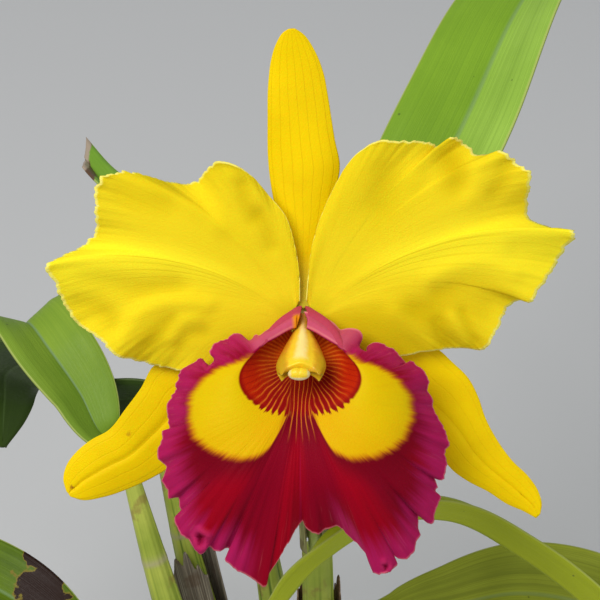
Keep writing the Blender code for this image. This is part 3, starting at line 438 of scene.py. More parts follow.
def lipSkin():
    material, paint, shader = newSkin("lip_flesh", Subsurface_Weight=0.06, Subsurface_Scale=0.0015,
                                      Sheen_Weight=0.10, Sheen_Roughness=0.4,
                                      Sheen_Tint=lipLook["sheen"], Specular_IOR_Level=0.05)
    angle, edge, eye = paint.field("angle"), paint.field("edge"), paint.field("eye")
    mouth, pleat, fold = paint.field("mouth"), paint.field("pleat"), paint.field("fold")
    ray, reach, curl = paint.field("ray"), paint.field("reach"), paint.field("curl")
    aside = paint.positive(angle)
    broad = paint.streaks(70.0, 1.5, 0.25, 0.75)
    fine = paint.streaks(230.0, 3.0, 0.3, 0.7, seed=4.0)
    feather = paint.less(paint.calc("ADD", paint.times(broad, 0.55), paint.times(fine, 0.45)), 0.5)
    # crimson ground, darker under the eyes, redder on the ridges (its own redder tone, with a painted
    # highlight on the raised pleats), magenta towards the edge
    ridge = paint.rise(paint.timesPlus(broad, 0.4, pleat), -0.2, 1.3)
    under = paint.times(paint.rise(eye, -11.0, 0.0), paint.rise(aside, 95.0, 50.0))
    colour = paint.mix(paint.times(under, 0.8), lipLook["crimson"], lipLook["dark"])
    redder = paint.times(paint.times(ridge, 0.8), paint.less(1.0, under))
    colour = paint.mix(redder, colour, lipLook["red"])
    rim = paint.timesPlus(feather, 6.0, edge)
    outer = paint.times(paint.rise(rim, 15.0, 3.5), paint.rise(aside, 11.0, 20.0))
    colour = paint.mix(outer, colour, lipLook["magenta"])
    colour = paint.mix(paint.times(fine, 0.12), colour, lipLook["dark"])
    glints = paint.streaks(300.0, 5.0, 0.62, 0.72, seed=15.0)
    glints = paint.times(glints, paint.rise(edge, 16.0, 4.0))
    colour = paint.mix(paint.times(glints, 0.08), colour, lipLook["edge"])
    # the two yellow eyes, with a soft orange border feathered along the veins
    eyeMask = paint.timesPlus(feather, 1.5, eye)
    deep = paint.mottle(90.0, 0.3, 0.7, seed=2.0)
    low = paint.times(paint.rise(aside, 80.0, 30.0), 0.55)
    yellow = paint.mix(paint.timesPlus(deep, 0.25, low), lipLook["eye"], lipLook["eyeDeep"])
    colour = paint.mix(paint.rise(eyeMask, -1.2, 1.2), colour, lipLook["eyeRim"])
    colour = paint.mix(paint.rise(eyeMask, -0.2, 2.4), colour, yellow)
    # the throat: orange-red, with thin light veins that fan out and part its lower rim into fingers
    wobble = paint.mottle(150.0, 0.0, 1.0, detail=1.0, seed=7.0)
    phase = paint.timesPlus(ray, 27.0, paint.times(wobble, 0.9))
    line = paint.positive(paint.less(paint.calc("FRACT", phase), 0.5))
    lower = paint.rise(aside, 80.0, 45.0)
    uneven = paint.streaks(150.0, 1.0, 0.25, 0.65, seed=31.0)
    fingers = paint.times(paint.rise(line, 0.06, 0.34), paint.timesPlus(uneven, 0.55, 0.45))
    inMouth = paint.timesPlus(fingers, -1.8, 0.9)
    inMouth = paint.timesPlus(inMouth, lower, mouth)
    inMouth = paint.rise(inMouth, 0.4, -0.4)
    broken = paint.mottle(300.0, 0.15, 0.55, detail=1.0, seed=12.0)
    lines = paint.times(paint.rise(line, 0.20, 0.04), broken)
    # painted light: the middle of the throat is painted brighter than its outer part, lifting its shade
    throat = paint.mix(paint.rise(reach, 5.0, 13.5), lipLook["throat"], lipLook["throatOuter"])
    between = paint.times(paint.rise(line, 0.34, 0.48), 0.45)
    throat = paint.mix(between, throat, lipLook["throatRim"])
    throat = paint.mix(paint.rise(mouth, -2.2, -0.3), throat, lipLook["throatRim"])
    # the lower throat darkened: its own dark crimson, with painted shade deep in the throat
    deepest = paint.times(paint.rise(aside, 75.0, 40.0), paint.rise(mouth, -22.0, -13.0))
    throat = paint.mix(paint.times(deepest, 0.9), throat, lipLook["throatLow"])
    lines = paint.times(lines, paint.most(paint.rise(mouth, -0.4, -3.0), lower))
    lines = paint.times(lines, paint.rise(aside, 14.0, 24.0))
    lines = paint.times(lines, paint.most(paint.rise(reach, 14.0, 9.0), lower))
    throat = paint.mix(paint.times(lines, 0.65), throat, lipLook["throatVein"])
    colour = paint.mix(inMouth, colour, throat)
    # a few thin light lines that run down from the throat on either side of the middle
    nearMiddle = paint.times(paint.rise(aside, 22.0, 15.0), paint.rise(mouth, 9.0, 0.0))
    bend = paint.timesPlus(wobble, 0.45, paint.times(angle, 0.14))
    thin = paint.positive(paint.less(paint.calc("FRACT", bend), 0.5))
    thin = paint.times(paint.rise(thin, 0.15, 0.03), nearMiddle)
    colour = paint.mix(paint.times(thin, 0.75), colour, lipLook["throatVein"])
    keelLine = paint.times(paint.rise(aside, 0.9, 0.2), paint.rise(mouth, 8.0, 14.0))
    colour = paint.mix(paint.times(keelLine, 0.2), colour, lipLook["magenta"])
    colour = paint.mix(fold, colour, lipLook["fold"])
    # painted shade inside each rolled curl, and a painted highlight round its rim
    colour = paint.mix(paint.times(curl, 0.75), colour, lipLook["dark"])
    colour = paint.mix(paint.times(paint.field("curlRimHighlight"), 0.7), colour, lipLook["curl"])
    # a painted highlight along the crest of the folded top, together with the pale edges of the margin and
    # the fold
    crestHighlight = paint.rise(paint.positive(mouth), 1.3, 0.5)
    foldEdgeAndCrestHighlight = paint.times(paint.most(crestHighlight, paint.rise(edge, 1.1, 0.4)), fold)
    paleEdgeAndCrestHighlight = paint.most(paint.rise(edge, 0.65, 0.2), paint.times(foldEdgeAndCrestHighlight, 1.6))
    colour = paint.mix(paint.times(paleEdgeAndCrestHighlight, 0.55), colour, lipLook["edge"])
    colour = paint.mix(paint.times(paint.field("back"), 0.85), colour, lipLook["back"])
    colour = paint.mix(paint.field("sliver"), colour, lipLook["sliver"])
    grain = paint.mottle(2400.0, 0.3, 0.7, detail=1.0)
    height = paint.timesPlus(fine, 0.5, paint.times(grain, 0.5))
    roughness = paint.timesPlus(grain, 0.15, 0.50)
    finishSkin(paint, shader, colour, roughness, height, 0.25, 0.0003)
    return material


columnLook = {
    # ridge: a painted highlight, cream-white along the top of the column
    "ridge": (0.96, 0.76, 0.28),
    "yellow": (0.92, 0.60, 0.025),
    "side": (0.66, 0.24, 0.006),
    "wing": (0.56, 0.34, 0.010),
    "top": (0.86, 0.34, 0.03),
    "end": (0.93, 0.66, 0.020),
}


def columnSkin():
    material, paint, shader = newSkin("column_flesh", Subsurface_Weight=0.15, Subsurface_Scale=0.002,
                                      Specular_IOR_Level=0.3, Coat_Weight=0.10, Coat_Roughness=0.3)
    sideways, along = paint.positive(paint.field("turnX")), paint.field("along")
    grain = paint.mottle(500.0, 0.3, 0.7)
    flank = paint.timesPlus(grain, 0.10, sideways)
    # painted highlight: the column's top ridge is painted cream-white, then yellow and orange towards the
    # sides
    colour = paint.mix(paint.rise(flank, 0.14, 0.42), columnLook["ridge"], columnLook["yellow"])
    colour = paint.mix(paint.rise(flank, 0.45, 0.85), colour, columnLook["side"])
    colour = paint.mix(paint.times(paint.rise(along, 0.55, 0.9), paint.rise(flank, 0.5, 0.85)),
                       colour, columnLook["wing"])
    colour = paint.mix(paint.times(paint.rise(along, 0.42, 0.12), 0.75), colour, columnLook["top"])
    colour = paint.mix(paint.times(paint.rise(along, 0.84, 0.94), paint.rise(flank, 0.62, 0.40)),
                       colour, columnLook["end"])
    finishSkin(paint, shader, colour, paint.timesPlus(grain, 0.1, 0.34), grain, 0.25, 0.0002)
    return material


capLook = {"yellow": (0.93, 0.66, 0.020), "pale": (0.78, 0.70, 0.42), "grain": (0.80, 0.52, 0.05)}


def capSkin():
    material, paint, shader = newSkin("anther_cap_flesh", Subsurface_Weight=0.2, Subsurface_Scale=0.002,
                                      Specular_IOR_Level=0.3, Coat_Weight=0.1, Coat_Roughness=0.2)
    grain = paint.mottle(700.0, 0.3, 0.7)
    corner = paint.times(paint.rise(paint.field("aside"), 0.62, 0.85), 0.7)
    pale = paint.most(corner, paint.rise(paint.field("low"), -0.05, 0.30))
    colour = paint.mix(pale, capLook["yellow"], capLook["pale"])
    colour = paint.mix(paint.times(grain, 0.15), colour, capLook["grain"])
    finishSkin(paint, shader, colour, paint.timesPlus(grain, 0.1, 0.3), grain, 0.25, 0.0002)
    return material


def leafSkin(name, look, rot=None, cutEnd=False):
    material, paint, shader = newSkin(name, Specular_IOR_Level=0.18, Coat_Weight=0.02, Coat_Roughness=0.4)
    across, along, back = paint.field("across"), paint.field("along"), paint.field("back")
    out = paint.positive(paint.timesPlus(across, 2.0, -1.0))
    patches = paint.mottle(28.0, 0.35, 0.68)
    colour = paint.mix(patches, look["light"], look["mid"])
    # painted light: where the look gives them, the other half of the leaf takes lighter colours, as the half
    # turned to the light
    litHalfColour = paint.mix(patches, look.get("litHalfLight", look["light"]), look.get("litHalfMid", look["mid"]))
    colour = paint.mix(paint.rise(across, 0.485, 0.515), colour, litHalfColour)
    veins = paint.streaks(90.0, 1.2, 0.42, 0.62)
    colour = paint.mix(paint.times(veins, look["veins"]), colour, look["dark"])
    broad = paint.streaks(14.0, 0.8, 0.35, 0.7, seed=5.0)
    colour = paint.mix(paint.times(broad, look["bands"]), colour, look["dark"])
    channel = paint.rise(out, 0.09, 0.02)
    colour = paint.mix(paint.times(channel, look["channel"]), colour, look["rib"])
    colour = paint.mix(paint.times(paint.rise(out, 0.972, 0.992), 0.7), colour, look["edge"])
    colour = paint.mix(paint.times(back, 0.6), colour, look["back"])
    dots = paint.effect(specks, {"Scale": 260.0, "Size": 0.16, "Share": 0.07})
    colour = paint.mix(paint.times(dots, 0.6), colour, look["dot"])
    if rot:
        ragged = paint.mottle(190.0, 0.0, 1.0, detail=6.0, seed=6.0)
        decay = None
        for spot, width in rot:
            near = paint.less(1.0, paint.calc("DIVIDE", paint.distance(spot), width))
            decay = near if decay is None else paint.most(decay, near)
        decay = paint.timesPlus(paint.less(ragged, 0.5), 1.6, decay)
        colour = paint.mix(paint.rise(decay, -0.12, 0.05), colour, look["rotEdge"])
        colour = paint.mix(paint.rise(decay, 0.02, 0.14), colour, look["rot"])
    if cutEnd:
        ragged = paint.mottle(240.0, 0.2, 0.8, seed=8.0)
        leftHalf = paint.rise(across, 0.62, 0.30)
        end = paint.timesPlus(ragged, 0.05, along)
        end = paint.timesPlus(leftHalf, 0.075, end)
        colour = paint.mix(paint.rise(end, 0.995, 1.012), colour, look["burnt"])
        bone = paint.timesPlus(ragged, 0.012, along)
        colour = paint.mix(paint.rise(bone, 0.972, 0.984), colour, look["bone"])
    height = paint.timesPlus(veins, 0.6, paint.times(channel, -0.6))
    grain = paint.mottle(900.0, 0.3, 0.7)
    height = paint.timesPlus(grain, 0.15, height)
    finishSkin(paint, shader, colour, paint.timesPlus(grain, 0.12, 0.42), height, 0.3, 0.0004)
    return material


leafLook = {  # the second pair of light and mid colours, where given, is for the other half of the leaf, painted lighter: painted light on the half that faces the light
    "light": (0.245, 0.38, 0.035), "mid": (0.18, 0.305, 0.026), "dark": (0.13, 0.26, 0.020),
    "rib": (0.19, 0.31, 0.14), "edge": (0.48, 0.54, 0.16), "back": (0.28, 0.38, 0.05),
    "dot": (0.05, 0.07, 0.02), "channel": 0.8, "veins": 0.22, "bands": 0.15,
}
# painted light: this leaf's other half is painted much lighter, as the half facing the light
upperLeafLook = {**leafLook, "light": (0.23, 0.41, 0.026), "mid": (0.19, 0.35, 0.020),
                 "litHalfLight": (0.37, 0.60, 0.085), "litHalfMid": (0.31, 0.52, 0.065), "channel": 0.5}
# painted shade: a leaf hanging in shade, its colours painted dark
shadedLeafLook = {**leafLook, "light": (0.033, 0.064, 0.006), "mid": (0.022, 0.045, 0.004),
               "litHalfLight": (0.040, 0.078, 0.007), "litHalfMid": (0.026, 0.056, 0.005),
               "dark": (0.018, 0.040, 0.005), "rib": (0.07, 0.12, 0.03), "edge": (0.08, 0.12, 0.03),
               "back": (0.035, 0.065, 0.010), "channel": 0.5}
cutLeafLook = {**leafLook, "light": (0.20, 0.40, 0.030), "mid": (0.15, 0.33, 0.025),
               "burnt": (0.13, 0.07, 0.035), "bone": (0.44, 0.35, 0.26)}
frontLeafLook = {**leafLook, "light": (0.48, 0.56, 0.016), "mid": (0.39, 0.47, 0.012),
                 "dark": (0.28, 0.36, 0.008), "back": (0.45, 0.52, 0.020), "channel": 0.35}
lowLeafLook = {**leafLook, "light": (0.40, 0.46, 0.036), "mid": (0.31, 0.36, 0.024),
               "dark": (0.15, 0.19, 0.012), "back": (0.29, 0.34, 0.022), "channel": 0.4,
               "veins": 0.3, "bands": 0.45}
agedLeafLook = {**leafLook, "light": (0.125, 0.205, 0.008), "mid": (0.080, 0.145, 0.005),
                "dark": (0.045, 0.09, 0.004), "channel": 0.5, "bands": 0.4,
                "rotEdge": (0.22, 0.17, 0.020), "rot": (0.022, 0.009, 0.006)}


bulbLook = {
    "light": (0.42, 0.48, 0.075),
    "mid": (0.30, 0.38, 0.045),
    # groove: painted shade in the pseudobulbs' grooves
    "groove": (0.12, 0.20, 0.018),
    "scar": (0.40, 0.36, 0.22),
    "brown": (0.24, 0.12, 0.045),
}


def bulbSkin():
    material, paint, shader = newSkin("pseudobulb_skin", Specular_IOR_Level=0.25)
    along, groove, ring = paint.field("along"), paint.field("groove"), paint.field("ring")
    patches = paint.mottle(60.0, 0.35, 0.65)
    colour = paint.mix(patches, bulbLook["light"], bulbLook["mid"])
    # painted shade: darker in the grooves
    colour = paint.mix(paint.rise(groove, 0.0, -1.0), colour, bulbLook["groove"])
    tan = paint.mottle(130.0, 0.56, 0.66, detail=6.0, seed=4.0)
    colour = paint.mix(paint.times(tan, 0.5), colour, bulbLook["brown"])
    colour = paint.mix(paint.times(ring, 0.8), colour, bulbLook["scar"])
    foot = paint.rise(paint.timesPlus(tan, 0.1, along), 0.16, 0.04)
    colour = paint.mix(foot, colour, bulbLook["brown"])
    grain = paint.mottle(800.0, 0.3, 0.7)
    height = paint.timesPlus(groove, 0.5, paint.times(grain, 0.3))
    finishSkin(paint, shader, colour, paint.timesPlus(grain, 0.15, 0.38), height, 0.3, 0.0004)
    return material


paperStain = (0.10, 0.055, 0.03)


def paperSkin(name, light, dark, count):
    material, paint, shader = newSkin(name, Specular_IOR_Level=0.2)
    broad = paint.streaks(count * 0.3, 2.0, 0.3, 0.7)
    fibres = paint.streaks(count, 2.5, 0.45, 0.6, seed=3.0)
    colour = paint.mix(broad, light, dark)
    colour = paint.mix(paint.times(fibres, 0.6), colour, tuple(value * 0.35 for value in dark))
    stains = paint.mottle(180.0, 0.5, 0.65, detail=5.0)
    colour = paint.mix(paint.times(stains, 0.5), colour, paperStain)
    height = paint.timesPlus(fibres, -0.7, paint.times(broad, 0.6))
    finishSkin(paint, shader, colour, paint.timesPlus(broad, 0.15, 0.75), height, 0.6, 0.0004)
    return material


stalkLook = {"light": (0.42, 0.50, 0.12), "mid": (0.30, 0.40, 0.07), "top": (0.60, 0.56, 0.12)}


def stalkSkin():
    material, paint, shader = newSkin("stalk_skin", Specular_IOR_Level=0.4)
    along = paint.field("along")
    patches = paint.mottle(150.0, 0.35, 0.65)
    colour = paint.mix(patches, stalkLook["light"], stalkLook["mid"])
    colour = paint.mix(paint.rise(along, 0.85, 1.0), colour, stalkLook["top"])
    grain = paint.mottle(900.0, 0.3, 0.7)
    finishSkin(paint, shader, colour, paint.timesPlus(grain, 0.12, 0.36), grain, 0.25, 0.0003)
    return material


rhizomeLook = {"green": (0.22, 0.26, 0.07), "brown": (0.13, 0.10, 0.04), "scar": (0.30, 0.22, 0.13),
               "rootLight": (0.52, 0.50, 0.42), "rootDark": (0.30, 0.30, 0.20)}


def rhizomeSkin():
    material, paint, shader = newSkin("rhizome_skin", Specular_IOR_Level=0.3)
    ring = paint.field("ring")
    patches = paint.mottle(120.0, 0.4, 0.6, detail=5.0)
    colour = paint.mix(patches, rhizomeLook["green"], rhizomeLook["brown"])
    colour = paint.mix(paint.times(ring, 0.7), colour, rhizomeLook["scar"])
    grain = paint.mottle(900.0, 0.3, 0.7, detail=4.0)
    finishSkin(paint, shader, colour, paint.timesPlus(grain, 0.15, 0.6), grain, 0.5, 0.0005)
    return material


def rootSkin():
    material, paint, shader = newSkin("root_skin", Specular_IOR_Level=0.25)
    patches = paint.mottle(260.0, 0.4, 0.62, detail=4.0)
    colour = paint.mix(patches, rhizomeLook["rootLight"], rhizomeLook["rootDark"])
    finishSkin(paint, shader, colour, paint.timesPlus(patches, 0.1, 0.7), patches, 0.4, 0.0004)
    return material


def huskSkin(name, light, dark):
    material, paint, shader = newSkin(name, Specular_IOR_Level=0.15)
    broad = paint.mottle(90.0, 0.35, 0.65, detail=4.0)
    fine = paint.mottle(1400.0, 0.35, 0.65, detail=4.0, seed=2.0)
    colour = paint.mix(broad, light, dark)
    colour = paint.mix(paint.times(fine, 0.5), colour, tuple(value * 0.4 for value in dark))
    finishSkin(paint, shader, colour, paint.timesPlus(fine, 0.1, 0.85), fine, 0.8, 0.0006)
    return material


potLook = {"side": (0.020, 0.023, 0.027), "band": (0.065, 0.082, 0.105), "dust": (0.16, 0.15, 0.14)}


def potSkin():
    material, paint, shader = newSkin("pot_plastic", Specular_IOR_Level=0.4)
    dust = paint.mottle(45.0, 0.45, 0.75, detail=6.0)
    band = paint.field("band")
    colour = paint.mix(band, potLook["side"], potLook["band"])
    colour = paint.mix(paint.times(dust, 0.22), colour, potLook["dust"])
    scratches = paint.mottle(1500.0, 0.4, 0.7, detail=2.0, seed=1.0)
    roughness = paint.timesPlus(dust, 0.25, 0.38)
    finishSkin(paint, shader, colour, roughness, scratches, 0.12, 0.0003)
    return material


print("materials ready")


# The bloom's frames, as in the solid model

bloomMake = {"centre": (0.005, 0.045, 0.375), "tilt": 52.0, "lipLean": 12.0}
bloomTilt, lipLean = math.radians(bloomMake["tilt"]), math.radians(bloomMake["lipLean"])
bloomMatrix = Matrix.Translation(bloomMake["centre"]) @ Matrix.Rotation(bloomTilt, 4, "X")
lipMatrix = bloomMatrix @ Matrix.Rotation(-lipLean, 4, "X")


# Petals

petals = {
    "petal_left": {
        "margin": [
            (-3.0, -3.5, 0.3), (-9.0, -8.5, 0.5), (-16.5, -13.5, 0.5), (-24.0, -16.0, 1), (-29.5, -15.5, 2),
            (-39.5, -15.0, -2), (-48.0, -12.5, -1), (-52.5, -10.5, 3), (-59.0, -5.0, 0), (-64.5, -2.0, -3),
            (-67.5, 3.5, -2), (-70.0, 10.5, 1), (-72.0, 15.5, 3), (-68.5, 17.5, 0), (-63.0, 19.5, -4),
            (-59.0, 23.5, -2), (-57.5, 29.5, 2), (-57.5, 37.0, 4), (-56.0, 40.5, 5), (-50.5, 42.0, 3),
            (-44.0, 40.5, -1), (-37.5, 38.0, -5), (-33.5, 37.5, -6), (-30.0, 38.5, -5), (-27.0, 42.0, -1),
            (-23.0, 45.0, 3), (-18.5, 44.0, 4), (-14.5, 41.0, 2), (-10.0, 35.5, 0), (-5.0, 29.5, 0.5),
            (-2.3, 21.0, 1), (-1.0, 12.5, 1), (-0.9, 5.0, 0.8)],
        "claw": -2.2, "midrib": 153.0, "arch": -22.0, "tip": 0.235, "lower": 1.0, "shade": 0.1, "seed": 3.1,
        "relief": [  # soft ridges and hollows: the line each follows, its width and its height
            ([(-66, 13), (-56, 11), (-44, 9), (-36, 9.5)], 4.0, -1.1),
            ([(-52, -6), (-47, 1.0), (-41, 4.8), (-34, 5.6), (-27, 4.6)], 2.6, 1.0),
            ([(-63, 4), (-58, 3.0), (-54, -1)], 3.6, -0.9),
            ([(-44, -7), (-40.5, -3.0), (-37, -0.5)], 3.0, -0.9),
            ([(-37.5, -5.5), (-34, -0.5), (-30, 0.5)], 2.0, 0.5),
            ([(-35, -8), (-32, -4.5), (-28, -4)], 2.4, -0.6),
            ([(-50, 36), (-44, 34), (-38, 33)], 4.0, -0.6),
            ([(-17, 38), (-16, 33), (-14, 29)], 2.6, -0.8), ([(-12, 30), (-10, 25), (-9, 21)], 2.4, -0.7),
            ([(-21, 40), (-22, 33), (-23, 27)], 3.0, 0.5)],
    },
    "petal_right": {
        "margin": [
            (3.5, -4.5, 0.3), (9.0, -8.5, 0.5), (17.0, -11.0, 1), (26.0, -11.0, 1), (36.0, -9.5, 0),
            (46.0, -9.0, -1), (52.0, -8.5, 2), (53.5, -5.5, 3), (56.0, -0.5, 1), (59.0, 3.5, -2),
            (61.5, 5.0, -1), (64.0, 5.0, 2), (68.0, 10.5, 1), (71.5, 15.5, -1), (74.0, 20.5, 0),
            (76.0, 25.0, 3), (72.0, 25.5, 0), (68.5, 25.5, -3), (63.5, 28.5, -5), (63.0, 33.5, -2),
            (63.0, 39.5, 3), (62.5, 42.5, 4), (59.5, 44.0, 3), (56.0, 47.5, 4), (48.0, 46.5, -2),
            (45.0, 49.0, -3), (41.5, 51.5, 0), (38.0, 48.5, -3), (33.5, 50.0, -1), (26.5, 50.5, 3),
            (22.0, 51.0, 4), (15.5, 47.5, 2), (11.5, 42.5, 0.5), (8.5, 37.0, 0.5), (4.8, 28.5, 0.8),
            (2.6, 21.0, 1), (1.5, 12.5, 1), (0.9, 5.0, 0.8)],
        "claw": 2.2, "midrib": 26.0, "arch": 25.0, "tip": -0.134, "lower": -1.0, "shade": 1.0, "seed": 8.4,
        "relief": [
            ([(40, 46), (42, 43), (43, 39)], 4.4, -1.4), ([(49, 44), (48, 40), (46, 36)], 3.0, 0.6),
            ([(56, 43), (55, 39), (53, 36)], 3.0, -0.9), ([(32, 48), (32, 44), (31, 40)], 3.0, 0.6),
            ([(22, 42), (22, 38), (21, 33)], 4.5, -0.7),
            ([(36, 12.5), (44, 16), (52, 16.5), (59, 13)], 2.6, 0.7),
            ([(38, 8), (46, 10.5), (53, 9.5), (58, 6)], 3.0, -0.7), ([(32, 3), (42, 5), (51, 3)], 4.5, -0.9),
            ([(38, -1), (39, -5), (41, -8)], 1.8, -0.6), ([(42, 1), (44, -3), (46, -7)], 1.5, 0.5),
            ([(45, 2), (47, -2), (49, -6)], 1.5, -0.5), ([(26, 2), (32, -2), (36, -7)], 3.0, 0.6),
            ([(60, 20), (66, 19), (71, 18)], 3.0, -0.7)],
    },
}
petalMake = {"columns": 400, "rows": 60, "dome": 4.0, "level": 0.2, "thickness": 0.75, "rimThickness": 0.3,
             "teeth": 0.75, "crease": 0.30, "swell": 0.3, "rib": 0.8, "ruffle": 5.0}


def petalRelief(petal, place):
    relief = np.zeros(place.shape[:2])
    for line, width, height in petal["relief"]:
        points = curveThrough(line)(np.linspace(0, 1, 24))
        away = np.min([np.hypot(place[..., 0] - x, place[..., 1] - y) for x, y in points], axis=0)
        relief += height * np.exp(-(away / width) ** 2)
    return relief


def petalGrid(petal):
    u = np.linspace(0, 1, petalMake["columns"])
    v = np.linspace(0, 1, petalMake["rows"])[:, None]
    edge = curveThrough(petal["margin"])(u)
    side, level = np.full_like(u, petal["claw"]), np.full_like(u, petalMake["level"])
    claw = np.stack([side, -3.0 + 6.0 * u, level], axis=1)
    span = edge - claw
    midrib = math.radians(petal["midrib"])
    turn = (np.arctan2(span[:, 1], span[:, 0]) - midrib + math.pi) % (2 * math.pi) - math.pi
    lean = midrib + 0.62 * turn + math.radians(petal["arch"])
    length = np.hypot(span[:, 0], span[:, 1])[:, None]
    bend = claw + 0.55 * length * np.stack([np.cos(lean), np.sin(lean), np.zeros_like(lean)], axis=1)
    v3 = v[..., None]
    place = claw * (1 - v3) ** 2 + bend * 2 * v3 * (1 - v3) + edge * v3 * v3
    evened = np.minimum(v * length[:, 0] / spread(length[:, 0], 18), 1.0)
    rise = petalMake["dome"] * 4 * evened ** 2 * (1 - evened) * np.sqrt(np.maximum(0.0, np.sin(math.pi * u)))
    calm = spread(edge[:, 2], 14)
    ruffle = calm * v ** petalMake["ruffle"] + (edge[:, 2] - calm) * v ** (2 * petalMake["ruffle"])
    place[..., 2] = petalMake["level"] * (1 - v) + ruffle + rise
    seed = petal["seed"]
    relief = petalRelief(petal, place)
    place[..., 2] += relief * smoothRise(v, 0.1, 0.35)
    fan = (turn - petal["tip"]) * petal["lower"]
    ribbed = np.exp(-(fan / 0.15) ** 2) + 0.3 * np.exp(-(fan / 0.03) ** 2)
    place[..., 2] += petalMake["rib"] * ribbed * smoothRise(v, 0.05, 0.4) * (1 - 0.8 * v)
    crease = roughLine(u, 150.0, seed) + roughLine(u, 70.0, seed + 5)
    place[..., 2] += crease * petalMake["crease"] * smoothRise(v, 0.76, 1.0)
    place[..., 2] += rough(place, 1 / 14.0, seed) * petalMake["swell"] * smoothRise(v, 0.15, 0.6)
    ragged = smoothRise(u, 0.06, 0.14) * smoothRise(u, 0.86, 0.66)
    teeth = (roughLine(u, 260.0, seed + 9) + roughLine(u, 120.0, seed + 12)) * petalMake["teeth"] * ragged
    outward = unit(span)
    place[..., :2] += (outward[:, :2] * teeth[:, None])[None] * smoothRise(v, 0.93, 1.0)[..., None]
    # painted shade: deeper where the relief dips, and towards the lower side by each petal's share of shade
    hollow = np.clip(petal["shade"] * smoothRise(fan, 0.25, 0.6) - 0.7 * relief, 0.0, 1.0)
    return place, fan[None] + 0 * v, hollow


def buildPetals():
    skin = petalSkin()
    for name, petal in petals.items():
        place, fan, hollow = petalGrid(petal)
        v = np.linspace(0, 1, petalMake["rows"])[:, None]
        thickness = (petalMake["rimThickness"] + (petalMake["thickness"] - petalMake["rimThickness"])
                     * smoothRise(1 - v, 0.0, 0.25)) * mm
        grid = inFrame(bloomMatrix, place)
        if petal["claw"] > 0:  # its margin runs the other way round
            grid, fan, hollow = grid[:, ::-1], fan[:, ::-1], hollow[:, ::-1]
        piece = sheetPiece(name + "_blade", grid, thickness, {"fan": fan, "hollow": hollow})
        dress(piece, name, skin)


buildPetals()
print("petals ready")


# Sepals

sepals = {
    "dorsal_sepal": {
        "edges": (
            [(-2.0, 2.6), (-3.2, 10), (-5.5, 22), (-8.5, 34), (-9.7, 43), (-9.9, 55.5), (-9.6, 66.5),
             (-8.8, 72.4), (-7.4, 76.8), (-5.4, 79.9), (-4.0, 80.8)],
            [(2.0, 2.6), (3.2, 10), (5.8, 22), (8.8, 34), (10.3, 43), (8.9, 50), (8.0, 55.5),
             (6.9, 62.4), (5.5, 69.2), (3.0, 75.2), (0.0, 79.4), (-2.2, 80.9)]),
        "veins": 7.0, "veinDepth": 0.28, "ridge": 0.0, "marks": []},
    "sepal_left": {
        "edges": (
            [(-3.4, -0.9), (-12, -4.5), (-26, -9), (-38, -13), (-43.1, -15.5), (-46.9, -22),
             (-51.3, -28), (-57, -35), (-61.6, -37.5), (-66, -41), (-69, -45), (-70, -49.5), (-69.2, -52.4)],
            [(-1.2, -3.6), (-8, -13), (-17, -24), (-27, -35), (-37, -44.6), (-41.4, -47.6), (-50.2, -52),
             (-59, -54.8), (-64.8, -55.4), (-68.0, -54.2)]),
        "veins": 5.0, "veinDepth": 0.12, "ridge": -0.5,
        "marks": [((-67.6, -51.5, -2.6), 1.1, 0.85), ((-50.5, -35.5, -4.0), 1.0, 0.45),
                  ((-67.0, -43.8, -3.2), 0.8, 0.35)]},
    "sepal_right": {
        "edges": (
            [(3.4, -0.9), (12, -4), (24, -6.5), (33, -8), (38.2, -10), (43.4, -14.6), (47.8, -19),
             (50.9, -24.8), (53, -30.8), (56.9, -38), (61.4, -44), (65.9, -48.4), (68.9, -52.8),
             (70, -57), (69.6, -59.4)],
            [(1.2, -3.6), (8, -13), (18, -25), (30, -37), (41.7, -44.4), (44, -47), (48.5, -50.2),
             (54.3, -53.2), (60.2, -57), (64.6, -58.8), (68.4, -60.8)]),
        "veins": 5.0, "veinDepth": 0.12, "ridge": -0.35,
        "marks": [((67.2, -56.8, -2.0), 1.5, 0.35), ((68.6, -59.6, -1.8), 0.7, 0.6)]},
}
sepalMake = {"columns": 44, "rows": 130, "level": -1.2, "drop": 3.4, "hollow": 0.055, "thickness": 0.95,
             "rimThickness": 0.45}


def sepalGrid(sepal):
    u = np.linspace(0, 1, sepalMake["columns"])
    v = np.linspace(0, 1, sepalMake["rows"])
    first, second = curveThrough(sepal["edges"][0])(v), curveThrough(sepal["edges"][1])(v)
    flat = first[:, None] * (1 - u)[:, None] + second[:, None] * u[:, None]
    width = np.linalg.norm(second - first, axis=1)[:, None]
    middle = 1 - (2 * u - 1) ** 2
    column = v[:, None]
    drop = np.maximum(0.0, np.sin(math.pi * 0.85 * column)) ** 0.8 * np.minimum(column * 6, 1.0)
    z = sepalMake["level"] - sepalMake["drop"] * drop
    z = z + sepalMake["hollow"] * width * (middle - 1.0) * np.minimum(column * 4, 1.0)
    z = z + sepal["ridge"] * np.exp(-((2 * u - 1) / 0.10) ** 2) * smoothRise(column, 0.1, 0.35)
    place = np.concatenate([flat, z[..., None]], axis=-1)
    place[..., 2] += rough(place, 1 / 16.0, 4.2) * 0.5 * smoothRise(column, 0.1, 0.3)
    return place, np.abs(2 * u - 1)[None] + 0 * column


def buildSepals():
    for name, sepal in sepals.items():
        marks = []
        for spot, width, strength in sepal["marks"]:
            marks.append((tuple(bloomMatrix @ (Vector(spot) * mm)), width * mm, strength))
        skin = sepalSkin(name + "_flesh", sepal["veins"], sepal["veinDepth"], marks)
        place, out = sepalGrid(sepal)
        grid = inFrame(bloomMatrix, place)
        facing = np.cross(np.gradient(place, axis=1), np.gradient(place, axis=0))[..., 2].sum()
        if facing < 0:
            grid = grid[:, ::-1]
        rim = smoothRise(out, 0.75, 1.0)
        thickness = (sepalMake["thickness"] * (1 - rim) + sepalMake["rimThickness"] * rim) * mm
        dress(sheetPiece(name + "_blade", grid, thickness), name, skin)


buildSepals()
print("sepals ready")


# The lip

